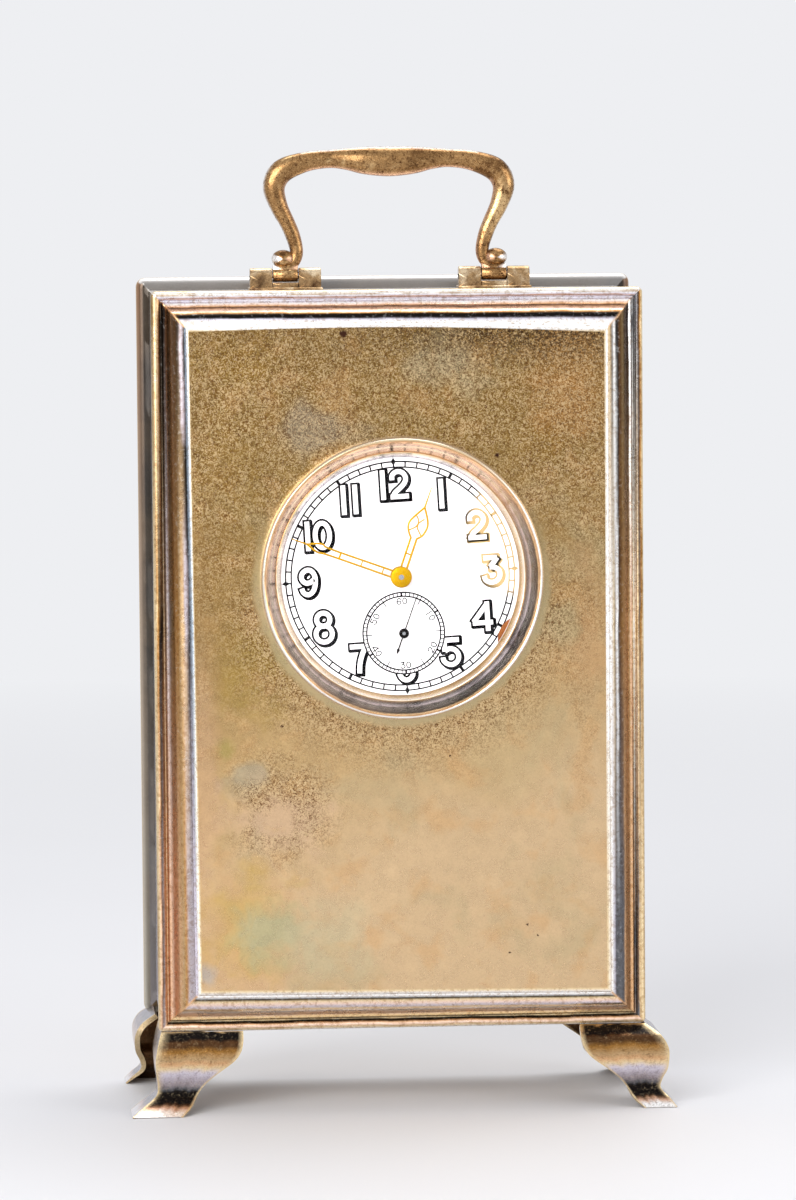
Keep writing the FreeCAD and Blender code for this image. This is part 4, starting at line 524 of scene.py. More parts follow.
def carried_round(profile, half_width, half_height, outer_radius, inner_radius, per_side=64):
    """A profile carried round a rectangle: each row is the rectangle moved in by the row's distance."""
    inward, y = profile[:, 0], profile[:, 1]
    radius = np.maximum(outer_radius - inward, inner_radius)
    x, z = rounded_rectangle(half_width - inward, half_height - inward, radius, per_side)
    return np.stack([x, np.broadcast_to(y[:, None], x.shape), z + MIDDLE], axis=-1)


# %% The front as one closed sheet
CORNER, MITRE = 0.9, 0.1
CROWN, CROWN_HALF = 0.75, 33.0
TOP_FROM = 50.0
UNDER_BEZEL = 0.9


def hand_worked(x, z):
    """How far a beaten sheet strays from flat, in millimetres: a few long waves added together."""
    return (
        0.05 * np.sin(x * 0.16 + 1.0) * np.sin(z * 0.11) + 0.03 * np.sin(x * 0.35 - z * 0.21)
        + 0.02 * np.sin(x * 0.7 + 2.0) * np.cos(z * 0.55)
    )


def front_grids():
    """The moulding, its top edge crowned upwards, the panel out to its opening, and the sheet's back."""
    profile = PROFILE + [0, FRONT_Y]
    ring = carried_round(profile, HALF_WIDTH, HALF_HEIGHT, CORNER, MITRE)
    crown = CROWN * np.clip(1 - (ring[..., 0] / CROWN_HALF) ** 2, 0, 1)
    inner_part = np.clip((profile[:, 0] / MOULDING - 0.3) / 0.7, 0, 1)[:, None]
    ring[..., 2] += crown * inner_part * (ring[..., 2] > MIDDLE + TOP_FROM)
    inner = ring[-1]
    flat = (inner - [0, 0, DIAL_Z]) * [1, 0, 1]
    opening = flat / np.linalg.norm(flat, axis=1)[:, None] * (bezel_high[0] - UNDER_BEZEL)
    opening = opening + [0, PANEL_Y, DIAL_Z]
    share = np.concatenate([[0.0, 0.006], np.linspace(0, 1, 40)[1:] ** 0.8])[:, None, None]
    panel = inner * (1 - share) + opening * share
    panel[..., 1] += hand_worked(panel[..., 0], panel[..., 2]) * np.clip(share[..., 0] * 8, 0, 1)
    back = panel[::-1] + [0, PANEL_SHEET, 0]
    rear = FRONT_Y + 2 * BEAD
    behind = carried_round(np.array([(5.6, FRONT_Y - 1.0), (3.4, FRONT_Y + 1.1), (2.0, rear), (0, rear)]),
                           HALF_WIDTH, HALF_HEIGHT, CORNER, MITRE)
    return np.concatenate([ring, panel[1:], back[:-2], behind])


def out_of_square(grid):
    """The panel sits a little turned in its frame: the drift grows from the bead to the panel's edge
    and fades again towards the bezel."""
    right, up = grid[..., 0] / HALF_WIDTH, (grid[..., 2] - MIDDLE) / HALF_HEIGHT
    inward = np.minimum(HALF_WIDTH - np.abs(grid[..., 0]),
                        HALF_HEIGHT - np.abs(grid[..., 2] - MIDDLE))
    share = np.clip((inward - 2) / (MOULDING - 2), 0, 1)
    share = share * np.clip((np.hypot(grid[..., 0], grid[..., 2] - DIAL_Z) - bezel_high[0]) / 8, 0, 1)
    share = share * (grid[..., 1] < FRONT_Y + 0.4)
    across, upwards = 0.36 * right * up - 0.31 * up - 0.17, 0.12 - 0.45 * right - 0.2 * up
    return grid + np.stack([across, 0 * up, upwards], axis=-1) * share[..., None]


square_grid = front_grids()
front_grid = out_of_square(square_grid)
print("front", front_grid.shape)

# %% [markdown]
# ### The front's tones
#
# Across the moulding the tones run from the bead's cream through the dark line of the groove and
# the stained hollow to the bright edge of the panel. Much of this is painted light over the patina:
# dark bands are painted shade and painted reflections of dark surroundings, and the bright edge
# and bright bands are painted highlights. Each side has its own run, and the upright ones lighten
# on their way down, which is painted light as well. The lines waver a little, since nobody cleans
# silver with a ruler, and a bright line marks each mitre: partly wear, partly a painted highlight
# of its ridge.

# %% Tones across the moulding: patina with painted reflection, highlight and shade
LEFT_RUNS = (
    ((0.0, OLIVE), (0.3, TAN), (0.8, CREAM), (1.3, PEACH), (1.55, BLACK_SHADE), (2.2, BLACK_SHADE), (2.6, UMBER),
     (3.4, UMBER), (4.2, UMBER), (4.6, BLACK_SHADE), (6.0, BLACK_SHADE), (6.15, COOL), (6.6, WHITE),
     (6.85, CREAM)),
    ((0.0, CREAM), (0.35, CREAM), (0.45, OCHRE), (0.75, OCHRE), (0.9, BLACK_SHADE), (1.4, BLACK_SHADE),
     (1.6, TAN), (2.4, MAUVE), (3.0, TAN), (3.3, OCHRE), (4.0, OCHRE), (4.4, TAN), (5.4, TAN),
     (5.6, BLACK_SHADE), (6.05, BLACK_SHADE), (6.2, COOL), (6.6, COOL), (6.85, CREAM)),
    ((0.0, TAN), (0.3, CREAM), (0.6, ROSE), (0.85, UMBER), (1.1, MAUVE), (1.5, PEACH), (2.6, ROSE),
     (3.6, PEACH), (4.2, TAN), (4.6, OCHRE), (5.0, MAUVE), (5.8, MAUVE), (6.1, LILAC), (6.3, WHITE),
     (6.85, CREAM)),
)
RIGHT_RUNS = (
    ((0.0, CREAM), (0.25, CREAM), (0.4, OCHRE), (0.7, UMBER), (0.95, SLATE), (1.5, SLATE),
     (1.65, BLACK_SHADE), (1.8, WHITE), (2.3, WHITE), (2.5, BLACK_SHADE), (2.9, UMBER), (3.6, OLIVE),
     (4.2, UMBER), (4.5, BLACK_SHADE), (4.9, BLACK_SHADE), (5.05, WHITE), (5.3, WHITE), (5.5, SLATE), (5.8, TAN),
     (6.1, CREAM), (6.4, WHITE), (6.85, CREAM)),
    ((0.0, CREAM), (0.2, CREAM), (0.3, OCHRE), (0.6, OCHRE), (0.75, SLATE), (1.0, TAN),
     (1.25, CREAM), (1.45, WHITE), (1.9, CREAM), (2.1, ROSE), (2.5, TAN), (2.9, OCHRE),
     (3.8, OCHRE), (4.4, UMBER), (4.65, BLACK_SHADE), (4.8, WHITE), (5.0, WHITE), (5.2, UMBER),
     (5.4, CREAM), (5.8, WHITE), (6.85, WHITE)),
    ((0.0, TAN), (0.35, CREAM), (0.7, CREAM), (1.0, TAN), (1.2, SLATE), (1.7, SLATE), (1.9, PEACH),
     (3.6, PEACH), (3.95, SLATE), (5.3, SLATE), (5.6, LILAC), (5.9, WHITE), (6.85, CREAM)),
)
TOP_RUN = (
    (0.0, CREAM), (0.5, WHITE), (0.62, TAN), (0.75, WHITE), (1.05, LILAC), (1.2, ROSE),
    (1.35, LILAC), (2.1, WHITE), (2.35, SHELL), (2.6, PEACH), (2.85, UMBER), (3.05, PEACH),
    (3.45, SHELL), (3.7, OCHRE), (3.95, BLACK_SHADE), (4.6, BLACK_SHADE), (4.85, LILAC), (5.2, WHITE),
    (6.5, WHITE), (6.85, CREAM),
)
# The bottom run is lighter: a painted reflection of the pale floor below.
BOTTOM_RUN = (
    (0.0, WHITE), (0.4, CREAM), (0.55, TAN), (0.8, SHELL), (1.15, PEACH), (1.35, BLACK_SHADE), (1.6, BLACK_SHADE),
    (1.8, CREAM), (2.3, AMBER), (2.9, SHELL), (3.5, WHITE), (3.8, AMBER), (4.2, LILAC),
    (4.7, SHELL), (5.15, CREAM), (5.4, BLACK_SHADE), (5.65, BLACK_SHADE), (5.85, WHITE), (6.4, WHITE),
    (6.85, CREAM),
)


def blended(runs, place, down):
    """Three runs of tones, blended from the first at the top through the second to the last."""
    high, middle, low = (tones_at(run, place) for run in runs)
    first = np.clip(1 - (down / 0.45) ** 1.6, 0, 1)
    last = np.clip((down - 0.45) / 0.4, 0, 1)
    return high * first + middle * (1 - first - last) + low * last


def front_tones(grid):
    """A tone for each point of the front, by how far in from the edge and how far down it lies: patina
    with painted reflection, highlight and shade.
    """
    x, z = grid[..., 0], grid[..., 2] - MIDDLE
    in_x, in_z = HALF_WIDTH - np.abs(x), HALF_HEIGHT - np.abs(z)
    upright = in_x < in_z
    inward = np.where(upright, in_x, in_z)
    along = np.where(upright, z, x)
    waver = 0.13 * wander(along, 1.0 + 2 * upright + (x > 0))
    place = inward + waver * np.clip((6.2 - inward) / 3, 0, 1)
    down = np.clip((HALF_HEIGHT - z) / (2 * HALF_HEIGHT), 0, 1)[..., None]
    side = np.where(x[..., None] < 0, *(blended(runs, place, down) for runs in (LEFT_RUNS, RIGHT_RUNS)))
    level = np.where(z[..., None] > 0, tones_at(TOP_RUN, place), tones_at(BOTTOM_RUN, place))
    worn = np.clip((z - 37 - wander(z * 2, 2.0)) / 2, 0, 1) + bell(z, 12.0, 9.0)
    rub = bell(inward, 5.45 + 0.15 * wander(z, 5.0), 0.45) ** 2
    worn = np.clip(1.8 * worn * rub, 0, 1) * (x < 0) * upright
    colour = painted(np.where(upright[..., None], side, level), 1.25 * np.array(MAUVE), worn[..., None])
    # A bright line along each mitre: wear, and a painted highlight of its ridge.
    mitre = bell(in_x - in_z, 0.0, 0.25) * (inward > 1.7) * (inward < 6.1)
    mitre = mitre * np.where((x > 0) & (z > 0), 0.6, 0.9)
    return np.clip(painted(colour, PEACH, mitre[..., None]), 0, 1)


on_moulding = np.arange(len(front_grid))[:, None] < len(PROFILE)
front_patina_and_light = with_share(front_tones(square_grid), on_moulding.astype(float))
print("share of points on the moulding", on_moulding.mean().round(2))


# %% The panel's finish
STAINS = (
    (-28, 129, 7, 6, (150, 116, 48), 0.7), (-13.5, 116.5, 8, 5, (158, 150, 134), 0.55),
    (8.5, 127.5, 7.5, 5, (176, 166, 134), 0.6), (-29, 107, 6, 8, (162, 128, 62), 0.5),
    (29, 120, 6.5, 6, (180, 132, 76), 0.6), (24.5, 114, 3.5, 3, (146, 108, 38), 0.5),
    (-27, 75.5, 7, 8, (164, 136, 66), 0.65), (-30, 62.5, 2, 2, (150, 140, 70), 0.5),
    (-26, 57.5, 4.5, 3.5, (166, 158, 136), 0.6), (-34, 62, 3, 34, (206, 166, 130), 0.5),
    (-20, 51, 9, 7, (212, 178, 146), 0.6), (-27, 31, 10.5, 13, (208, 162, 118), 0.6),
    (-26.5, 33, 8.5, 11.5, (200, 168, 94), 0.7), (-22.5, 31.5, 8, 6.5, (180, 174, 136), 0.85),
    (-13, 30, 8, 6.5, (196, 182, 146), 0.6), (-33.5, 24, 2.5, 2, (170, 170, 168), 0.6),
    (-33, 92, 6, 22, (156, 124, 72), 0.7), (29, 128, 8, 13, (178, 130, 74), 0.6),
    (31, 80, 4.5, 14, (198, 152, 106), 0.5), (17, 62, 8, 9, (196, 172, 128), 0.5),
    (28, 84, 3, 5, (170, 158, 118), 0.6),
)
SPECKS = (
    (-9.5, 132.6, 0.55), (16.3, 111.9, 0.35), (21.0, 32.0, 0.14), (22.8, 30.0, 0.12), (18.0, 27.2, 0.16),
    (-20.5, 66.5, 0.2), (8.0, 61.0, 0.12),
)


def panel_base(r, height, x, clouds, patches):
    """Gold that deepens upwards in clouds, with ovals of other tones: each row of STAINS is a place,
    a half width and height in millimetres, a tone and a share."""
    place = r.math("SUBTRACT", r.shaken(height, clouds, 0.3), r.range(x, -0.035, 0.035, -0.06, 0.11))
    base = r.ramp(place, (0.16, tone(208, 178, 138)), (0.38, tone(192, 160, 112)),
                  (0.56, tone(164, 132, 80)), (0.80, tone(148, 118, 62)), (1.0, tone(144, 114, 60)))
    base = r.mix(r.range(patches, 0.52, 0.64, 0.0, 0.35), base, tone(206, 158, 104))
    base = r.mix(r.range(clouds, 0.46, 0.36, 0.0, 0.35), base, tone(172, 160, 122))
    for across, up, wide, tall, hue, share in STAINS:
        far = r.shaken(r.oval(across, up, wide, tall), patches, 2.6)
        base = r.mix(r.range(far, 1.15, 0.4, 0.0, share), base, tone(*hue))
    return base


def front_finish():
    """Silver for the front: the points' own tones on the moulding, patina with painted light and shade,
    and stains and grain on the panel.
    """
    r = Recipe("panel_silver", Metallic=0.85)
    x, _, z = r.add("ShaderNodeSeparateXYZ", {0: r.place}).outputs[:3]
    height = r.range(z, 0.020, 0.135)
    patches = r.noise(150.0, 3.0, 0.55, 0.3, shift=(0.4, 0.2, 0.7))
    small = r.noise(420.0, 3.0, 0.6)
    base = panel_base(r, height, x, r.noise(46.0, 4.0, 0.6, 0.6), patches)
    from_dial = r.oval(0, DIAL_Z, 1, 1)
    halo = r.times(r.range(r.shaken(from_dial, small, 1.6), 25.6, 24.7), r.range(z, 0.106, 0.088))
    near_dial = r.times(r.range(from_dial, 36, 26), r.range(z, 0.100, 0.086))
    upper = r.range(r.shaken(height, patches, 0.8), 0.36, 0.80, 0.10, 0.85)
    from_flecks = r.vector("DISTANCE", r.place, (-0.021, PANEL_Y * MM, 0.053))
    flecked = r.times(r.range(from_flecks, 0.013, 0.006, 0.0, 0.9), r.range(patches, 0.40, 0.55))
    strength = r.math("MAXIMUM", r.math("MAXIMUM", near_dial, upper), flecked)
    strength = r.times(strength, r.range(halo, 0.0, 1.0, 1.0, 0.15))
    worm = r.noise(1900.0, 1.0, 0.5, 1.2)
    from_line = r.math("ABSOLUTE", r.math("SUBTRACT", worm, 0.5))
    fleck = r.noise(2600.0, 3.0, 0.6, 1.2)
    dark = r.math("MAXIMUM", r.range(from_line, 0.045, 0.010), r.range(fleck, 0.54, 0.60))
    base = r.mix(r.times(dark, strength), base, tone(98, 60, 26))
    bright = r.times(r.range(from_line, 0.07, 0.13), strength)
    base = r.mix(r.times(bright, 0.75), base, tone(212, 184, 140))
    base = r.mix(r.times(halo, 0.6), base, tone(186, 172, 134))
    stain = r.times(r.range(z, 0.1255, 0.1325), r.range(x, -0.012, 0.016, 0.25, 1.0))
    base = r.mix(r.times(stain, r.range(fleck, 0.44, 0.52, 0.0, 0.9)), base, tone(52, 32, 16))
    for across, up, size in SPECKS:
        gap = r.vector("DISTANCE", r.place, (across * MM, PANEL_Y * MM, up * MM))
        spot = r.range(r.shaken(gap, fleck, 0.0012), size * 1.3 * MM, size * 0.8 * MM)
        base = r.mix(spot, base, tone(60, 32, 20))
    # The points' own tones: patina with painted reflections, highlights and shade.
    own = r.add("ShaderNodeAttribute", attribute_name="patina_and_painted_light").outputs
    streak = r.noise(1500.0, 3.0, 0.6, 0.6)
    ring = r.mix(r.range(streak, 0.50, 0.64, 0.0, 0.5), own["Color"], tone(186, 160, 128), "MULTIPLY")
    ring = r.mix(r.range(streak, 0.42, 0.34, 0.0, 0.10), ring, WHITE)
    scratches = r.bump(r.noise(90.0, 2.0, 0.5, 0.2, stretch=(14, 1, 1)), 0.03, 0.12)
    rough = r.range(small, 0.3, 0.7, 0.22, 0.36)
    base = r.mix(own["Alpha"], base, ring)
    return r.finished(Base_Color=base, Roughness=rough, Normal=r.bump(worm, 0.03, 0.4, scratches))


make_piece("front", [front_grid], front_finish(), "case", ["case_front"],
           tones=[front_patina_and_light], sharp=50)

# %% [markdown]
# ## The box behind
#
# Four flat walls stand a little inside the front's bead, and a fatter bead runs round the back,
# where the door closes. It is the same idea again: one profile carried round a rectangle.

# %% The walls and the rear bead
body_low, body_high = box_mm("case_body")
BACK_Y = body_high[1]
WALL_Y = body_low[1]
WALL_IN = 2.2
REAR_BEAD = 1.3


def body_profile():
    """The walls from the front back to the rear bead, its lip, and the inside."""
    rear = BACK_Y - 2 * REAR_BEAD
    bead = arc_through((REAR_BEAD, rear), (0, BACK_Y - REAR_BEAD), (REAR_BEAD, BACK_Y), 16)
    return np.vstack([
        [(WALL_IN, WALL_Y)], [(WALL_IN, y) for y in np.linspace(WALL_Y + 0.2, rear - 0.05, 24)],
        [(WALL_IN - 0.05, rear)], bead,
        [(6.3, BACK_Y), (6.4, BACK_Y - 0.1), (6.4, BACK_Y - 1.2), (3.2, BACK_Y - 1.2), (3.2, WALL_Y),
         (WALL_IN, WALL_Y)],
    ])


def body_grid(profile):
    """The profile carried round, with the walls a little uneven."""
    grid = carried_round(profile, body_high[0], HALF_HEIGHT + body_high[0] - HALF_WIDTH, 1.6, 0.3)
    flat = (np.abs(profile[:, 0] - WALL_IN) < 0.01)[:, None]
    stray = hand_worked(grid[..., 2], grid[..., 1] * 2) * flat
    grid[..., 0] += stray * np.sign(grid[..., 0]) * (np.abs(grid[..., 0]) > HALF_WIDTH - 2)
    return grid


def body_tones(grid):
    """Dark upright walls that lighten downwards, a pale top, a rear bead with a light crest and a dark
    seam: painted light over patina, the walls a painted dark reflection, the top painted as lit from
    above, the crest a painted highlight and the seam painted shade.
    """
    x, y, z = grid[..., 0], grid[..., 1], grid[..., 2] - MIDDLE
    upright = (HALF_WIDTH - np.abs(x) < HALF_HEIGHT - np.abs(z))[..., None]
    on_top = z[..., None] > 0
    down = np.clip((HALF_HEIGHT - z) / (2 * HALF_HEIGHT), 0, 1)[..., None]
    high, middle, low, pale, brown, grey = (
        np.array(c[:3]) for c in (tone(44, 40, 40), tone(112, 112, 110), tone(204, 204, 214), WHITE,
                                  tone(140, 104, 78), tone(176, 172, 160))
    )
    line = bell(y + 0.5 * wander(x, 3.0), WALL_Y + 7.0, 0.5)
    line = line + bell(y + 0.6 * wander(x, 7.0), WALL_Y + 20.0, 0.4)
    first, last = np.clip(1 - down / 0.5, 0, 1), np.clip(down / 0.5 - 1, 0, 1) ** 1.5
    wall = high * first + middle * (1 - first - last) + low * last
    wall = wall * (1 + 0.18 * wander(y * 1.5, 4.0)[..., None] * (1 - last))
    level = np.where(on_top, painted(pale, UMBER, 0.6 * line[..., None]), np.array(TAN[:3]))
    bead = np.where(upright | ~on_top, brown * (1 - down) + grey * down, pale)
    bead = painted(bead, CREAM, bell(y, BACK_Y - REAR_BEAD, 0.35)[..., None])
    seam = bell(y, BACK_Y - 2 * REAR_BEAD, 0.3)[..., None]
    on_bead = (y > BACK_Y - 2 * REAR_BEAD)[..., None]
    colour = painted(np.where(on_bead, bead, np.where(upright, wall, level)), BLACK_SHADE, 0.8 * seam)
    return with_share(np.clip(colour, 0, 1), np.where(y > BACK_Y - 0.6, 0.0, 0.92))


box_grid = body_grid(body_profile())
make_piece("case_box", [box_grid], BODY_SILVER, "case", ["case_body"],
           tones=[body_tones(box_grid)], sharp=40)

# %% [markdown]
# ## The feet
#
# Each foot is a bracket cut from sheet: two wings that meet at the corner, bulge out below the
# case, draw in and kick out to a pointed toe. Down the wing runs a curve; across it, the wing
# goes from the mitre to a wavy edge. The inner face is the outer one moved in by the sheet's
# thickness, which thins towards the toe.

# %% A foot as a bent sheet
FOOT_HEIGHT = front_low[2]
TOE = 4.8
BULGE = 1.2
WING = 13.8
FOOT_SHEET = 0.9
FOOT_ROWS = (
    (1.00, 0.00, -0.30, 0.10, 1.00),
    (0.88, 0.00, 0.40, 0.75, 1.00),
    (0.75, 0.00, 0.85, 1.00, 0.97),
    (0.63, 0.00, 1.00, 1.00, 0.88),
    (0.47, 0.02, 0.80, 0.95, 0.66),
    (0.34, 0.05, 0.42, 0.75, 0.51),
    (0.22, 0.16, 0.15, 0.55, 0.42),
    (0.10, 0.62, 0.02, 0.30, 0.34),
    (0.00, 1.00, 0.00, 0.00, 0.23),
)
# Tones up the foot from the toe at 0 to the case at 1: patina with painted light, a bright painted
# highlight on the toe, a black band of painted shade at its turn and a black painted shadow of the case
# along the top.
FOOT_TONES = (
    (0.00, WHITE), (0.04, WHITE), (0.09, ROSE), (0.12, UMBER), (0.14, BLACK_SHADE), (0.27, BLACK_SHADE), (0.30, SLATE),
    (0.36, MAUVE), (0.50, LILAC), (0.56, CREAM), (0.61, PEACH), (0.66, TAN), (0.76, OCHRE), (0.82, UMBER),
    (0.88, UMBER), (0.90, BLACK_SHADE), (0.99, BLACK_SHADE), (1.00, TAN),
)


def foot_profile(lean):
    """The outer face down a wing, and the inner one: the outer moved in square to itself by a
    thickness that thins towards the toe. Rows hold shares of height, toe, bulge, lean and wing."""
    up, toe, out, tilt, wing = curve_through(FOOT_ROWS, 60).T
    away = -toe * TOE - out * BULGE - tilt * lean
    z = up * FOOT_HEIGHT
    thick = 0.25 + (FOOT_SHEET - 0.25) * np.clip(up / 0.3, 0, 1)
    run = np.stack([np.gradient(away), np.gradient(z)], axis=1)
    run /= np.linalg.norm(run, axis=1)[:, None]
    inner_away, inner_z = away - run[:, 1] * thick, z + run[:, 0] * thick
    shift = np.clip(1 - up / 0.3, 0, 1) * min(z.min(), inner_z.min())
    return up, away, z - shift, inner_away, np.minimum(inner_z - shift, FOOT_HEIGHT), wing * WING - lean


def foot_grids(side, end, lean):
    """Both faces as one closed run of rows, with a strip along each wavy edge."""
    up, away, z, inner_away, inner_z, edge = foot_profile(lean)
    ring_away = np.concatenate([away, inner_away[::-1], away[:1]])[:, None]
    ring_z = np.concatenate([z, inner_z[::-1], z[:1]])[:, None]
    ring_edge = np.concatenate([edge, edge[::-1], edge[:1]])[:, None]
    along = ring_away + (ring_edge - ring_away) * np.linspace(0, 1, 16)
    front = np.stack(np.broadcast_arrays(along, ring_away, ring_z), axis=-1)
    sheet = np.concatenate([front[..., [1, 0, 2]][:, ::-1], front[:, 1:]], axis=1)
    count = len(up)
    caps = [np.stack([sheet[:count, k], sheet[count:2 * count, k][::-1]], axis=1) for k in (0, -1)]
    corner_y = FRONT_Y if end < 0 else BACK_Y - 1.2
    return [g * [-side, -end, 1] + [side * HALF_WIDTH, corner_y, 0] for g in (sheet, *caps)]


def foot_tones(grids):
    """Bands down the outer face, bluer on the wing at the side, a cream line at the fold, a brown inner
    face and pale edges: painted shadow, shade and highlight in the bands, a painted reflection for the
    blue, a painted highlight at the fold, painted shade inside, and edges both worn and painted
    highlight.
    """
    rows, columns = grids[0].shape[:2]
    count = rows // 2
    up = curve_through(FOOT_ROWS, count)[:, 0]
    column = np.arange(columns)
    height = np.concatenate([up, up[::-1], up[:1]])[:, None] + 0.02 * wander(column * 3.0, 2.0)
    colour = tones_at(FOOT_TONES, height)
    colour = np.where((column < 15)[None, :, None], painted(colour, LILAC, 0.4), colour)
    colour = painted(colour, CREAM, bell(column, 15, 0.8)[None, :, None])
    colour[count:2 * count] = UMBER[:3]
    colour[:, [0, -1]] = CREAM[:3]
    caps = [np.broadcast_to(np.array(CREAM), (*cap.shape[:2], 4)) for cap in grids[1:]]
    return [with_share(colour, 1.0), *caps]


FOOT_LEANS = {
    "foot_front_left": (-1, -1, -0.6), "foot_front_right": (1, -1, 2.4),
    "foot_rear_left": (-1, 1, 2.2), "foot_rear_right": (1, 1, 1.2),
}
for node, (side, end, lean) in FOOT_LEANS.items():
    grids = foot_grids(side, end, lean)
    make_piece(node + "_sheet", grids, FOOT_SILVER, "case", [node],
               tones=foot_tones(grids), sharp=40)

# %% [markdown]
# ## Bezel, glass and dial
#
# Turned pieces come from a lathe, in metal as here: a profile of radius and depth is carried
# round the dial's axis.

# %% The bezel
BEZEL_OUT = bezel_high[0]


def bezel_profile():
    """From the sleeve, over the rounded rim, down a dished slope to a thin ridge and the dial. Each
    point is a distance in from the outer edge and one forwards from the panel."""
    def at(*steps):
        return [(BEZEL_OUT - inward, PANEL_Y - ahead) for inward, ahead in steps]

    rim = curve_through(at((0, 0), (0, 1.3), (0.12, 2.3), (0.5, 2.9), (0.85, 2.8)), 22)
    slope = curve_through(at((0.95, 2.6), (1.3, 1.9), (1.6, 1.1), (2.1, -0.3), (2.75, -1.6)), 24)
    ridge = arc_through(*at((2.8, -1.7), (2.95, -1.68), (3.0, -1.9)), 6)
    low = PANEL_Y - DIAL_Y + 0.13
    under = at((3.4, low + 0.5), (3.8, low + 0.05), (3.8, low), (0.94, low), (0.94, 0), (0, 0))
    return np.vstack([rim, slope, ridge, under])


# Tones out from the axis in millimetres: the ring with painted highlights, and the ring where a painted
# dark reflection lies.
LIT_RUN = (
    (20.2, LILAC), (20.7, WHITE), (21.0, CREAM), (21.2, PEACH), (21.8, ROSE), (22.2, CREAM),
    (22.5, ROSE), (22.9, PEACH), (23.2, PEACH), (23.4, CREAM), (24.0, WHITE),
)
DARK_REFLECTION_RUN = (
    (20.2, TAN), (20.5, CREAM), (20.9, TAN), (21.0, WHITE), (21.15, CREAM), (21.3, UMBER),
    (21.6, SLATE), (21.9, MAUVE), (22.05, BLACK_SHADE), (22.85, BLACK_SHADE), (23.0, TAN), (23.25, PEACH),
    (23.4, WHITE), (24.0, WHITE),
)


def bezel_tones(grid):
    """A bright rim, a tan band, a bright ridge, and a dark band that is darkest at the lower right:
    painted highlights on the rim and ridge, and a painted reflection of dark surroundings in the band.
    """
    x, z = grid[..., 0], grid[..., 2] - DIAL_Z
    radius = np.hypot(x, z) + 0.06 * wander(np.arctan2(x, z) * 24, 1.5) * (np.hypot(x, z) > 21.3)
    clock = np.degrees(np.arctan2(x, z)) % 360
    dark = np.clip((clock - 25) / 45, 0, 1) * np.clip((305 - clock) / 50, 0, 1)
    dark = dark[..., None] * (0.8 + 0.2 * np.cos(np.radians(clock - 140)))[..., None]
    lit_tones, dark_reflection = tones_at(LIT_RUN, radius), tones_at(DARK_REFLECTION_RUN, radius)
    return with_share(lit_tones * (1 - dark) + dark_reflection * dark, 0.95)


bezel_grid = turned(bezel_profile(), 0, DIAL_Z, 160)
make_piece("bezel_ring", [bezel_grid], BEZEL_SILVER, "case", ["bezel"],
           tones=[bezel_tones(bezel_grid)], sharp=40)


# %% The glass
GLASS_R = box_mm("crystal")[1][0] + 1.4
outer = arc_through((0.0, PANEL_Y - 2.7), (GLASS_R * 0.7, PANEL_Y - 2.15), (GLASS_R, PANEL_Y - 1.6), 26)
glass_line = np.vstack([outer, outer[::-1] + [0, 0.8]])
make_piece("glass_dome", [turned(glass_line, 0, DIAL_Z)], GLASS, "case", ["crystal"], sharp=40)

# %% [markdown]
# ### The dial
#
# The dial is a disc with a softly rounded edge, and the holes that the hands' arbors pass
# through. A grid that runs from one circle to another cannot also carry the second hole, so the
# disc's own solid stays, with the enamel on it, and the print is laid over it.

# %% Places on the dial
PRINT_TURN = math.radians(3.1)
PRINT_STEP = 0.012
SUB_X = 0.51
SUB_DROP = 9.69


def on_dial(flat, layer, turn=PRINT_TURN, centre=(0.0, 0.0)):
    """Points (right, up) laid on the dial at a layer of print, turned about the dial's centre."""
    c, s = math.cos(turn), math.sin(turn)
    right, up = flat[..., 0] + centre[0], flat[..., 1] + centre[1]
    depth = np.full(right.shape, DIAL_Y - layer * PRINT_STEP)
    return np.stack([right * c - up * s, depth, DIAL_Z + right * s + up * c], axis=-1)


def strip(path, half, grow=0.0):
    """A flat band along a path: two rows, half its width to each side, its ends moved out by grow."""
    path = np.array(path, float)
    first, last = path[0] - path[1], path[-1] - path[-2]
    path[0] += first / np.linalg.norm(first) * grow
    path[-1] += last / np.linalg.norm(last) * grow
    run = np.gradient(path, axis=0)
    run /= np.linalg.norm(run, axis=1)[:, None]
    side = np.stack([-run[:, 1], run[:, 0]], axis=1) * half
    return np.stack([path - side, path + side])


def toward(degrees):
    """A step of one millimetre away from the centre, in degrees clockwise from the top."""
    return np.stack([np.sin(np.radians(degrees)), np.cos(np.radians(degrees))], axis=-1)


def circle(radius, count, x=0.0, y=0.0):
    """Points round a circle."""
    return [x, y] + radius * toward(np.linspace(0, 360, count))


def ray(radius_in, radius_out, degrees):
    """Two points on a line out from the centre."""
    return np.stack([toward(degrees) * radius_in, toward(degrees) * radius_out])


# %% [markdown]
# ### The numerals
#
# The figures are upright, open letters: a white stroke with a black outline and a shadow to the
# lower right. Each figure is a few paths in millimetres about its own middle. A broad black
# band along each path, repeated a little further right and down, makes outline and shadow, and
# a white band on top leaves the open figure.

# %% The figures as strokes
STROKE = 0.40
OUTLINE = 0.35
SHADOW = 0.24


def smooth(*points):
    """A figure's curved stroke."""
    return evenly(curve_through(points, 60), 36)


def straight(*points):
    """A figure's straight stroke, with square corners made by separate bands."""
    return [np.array([a, b], float) for a, b in zip(points[:-1], points[1:])]


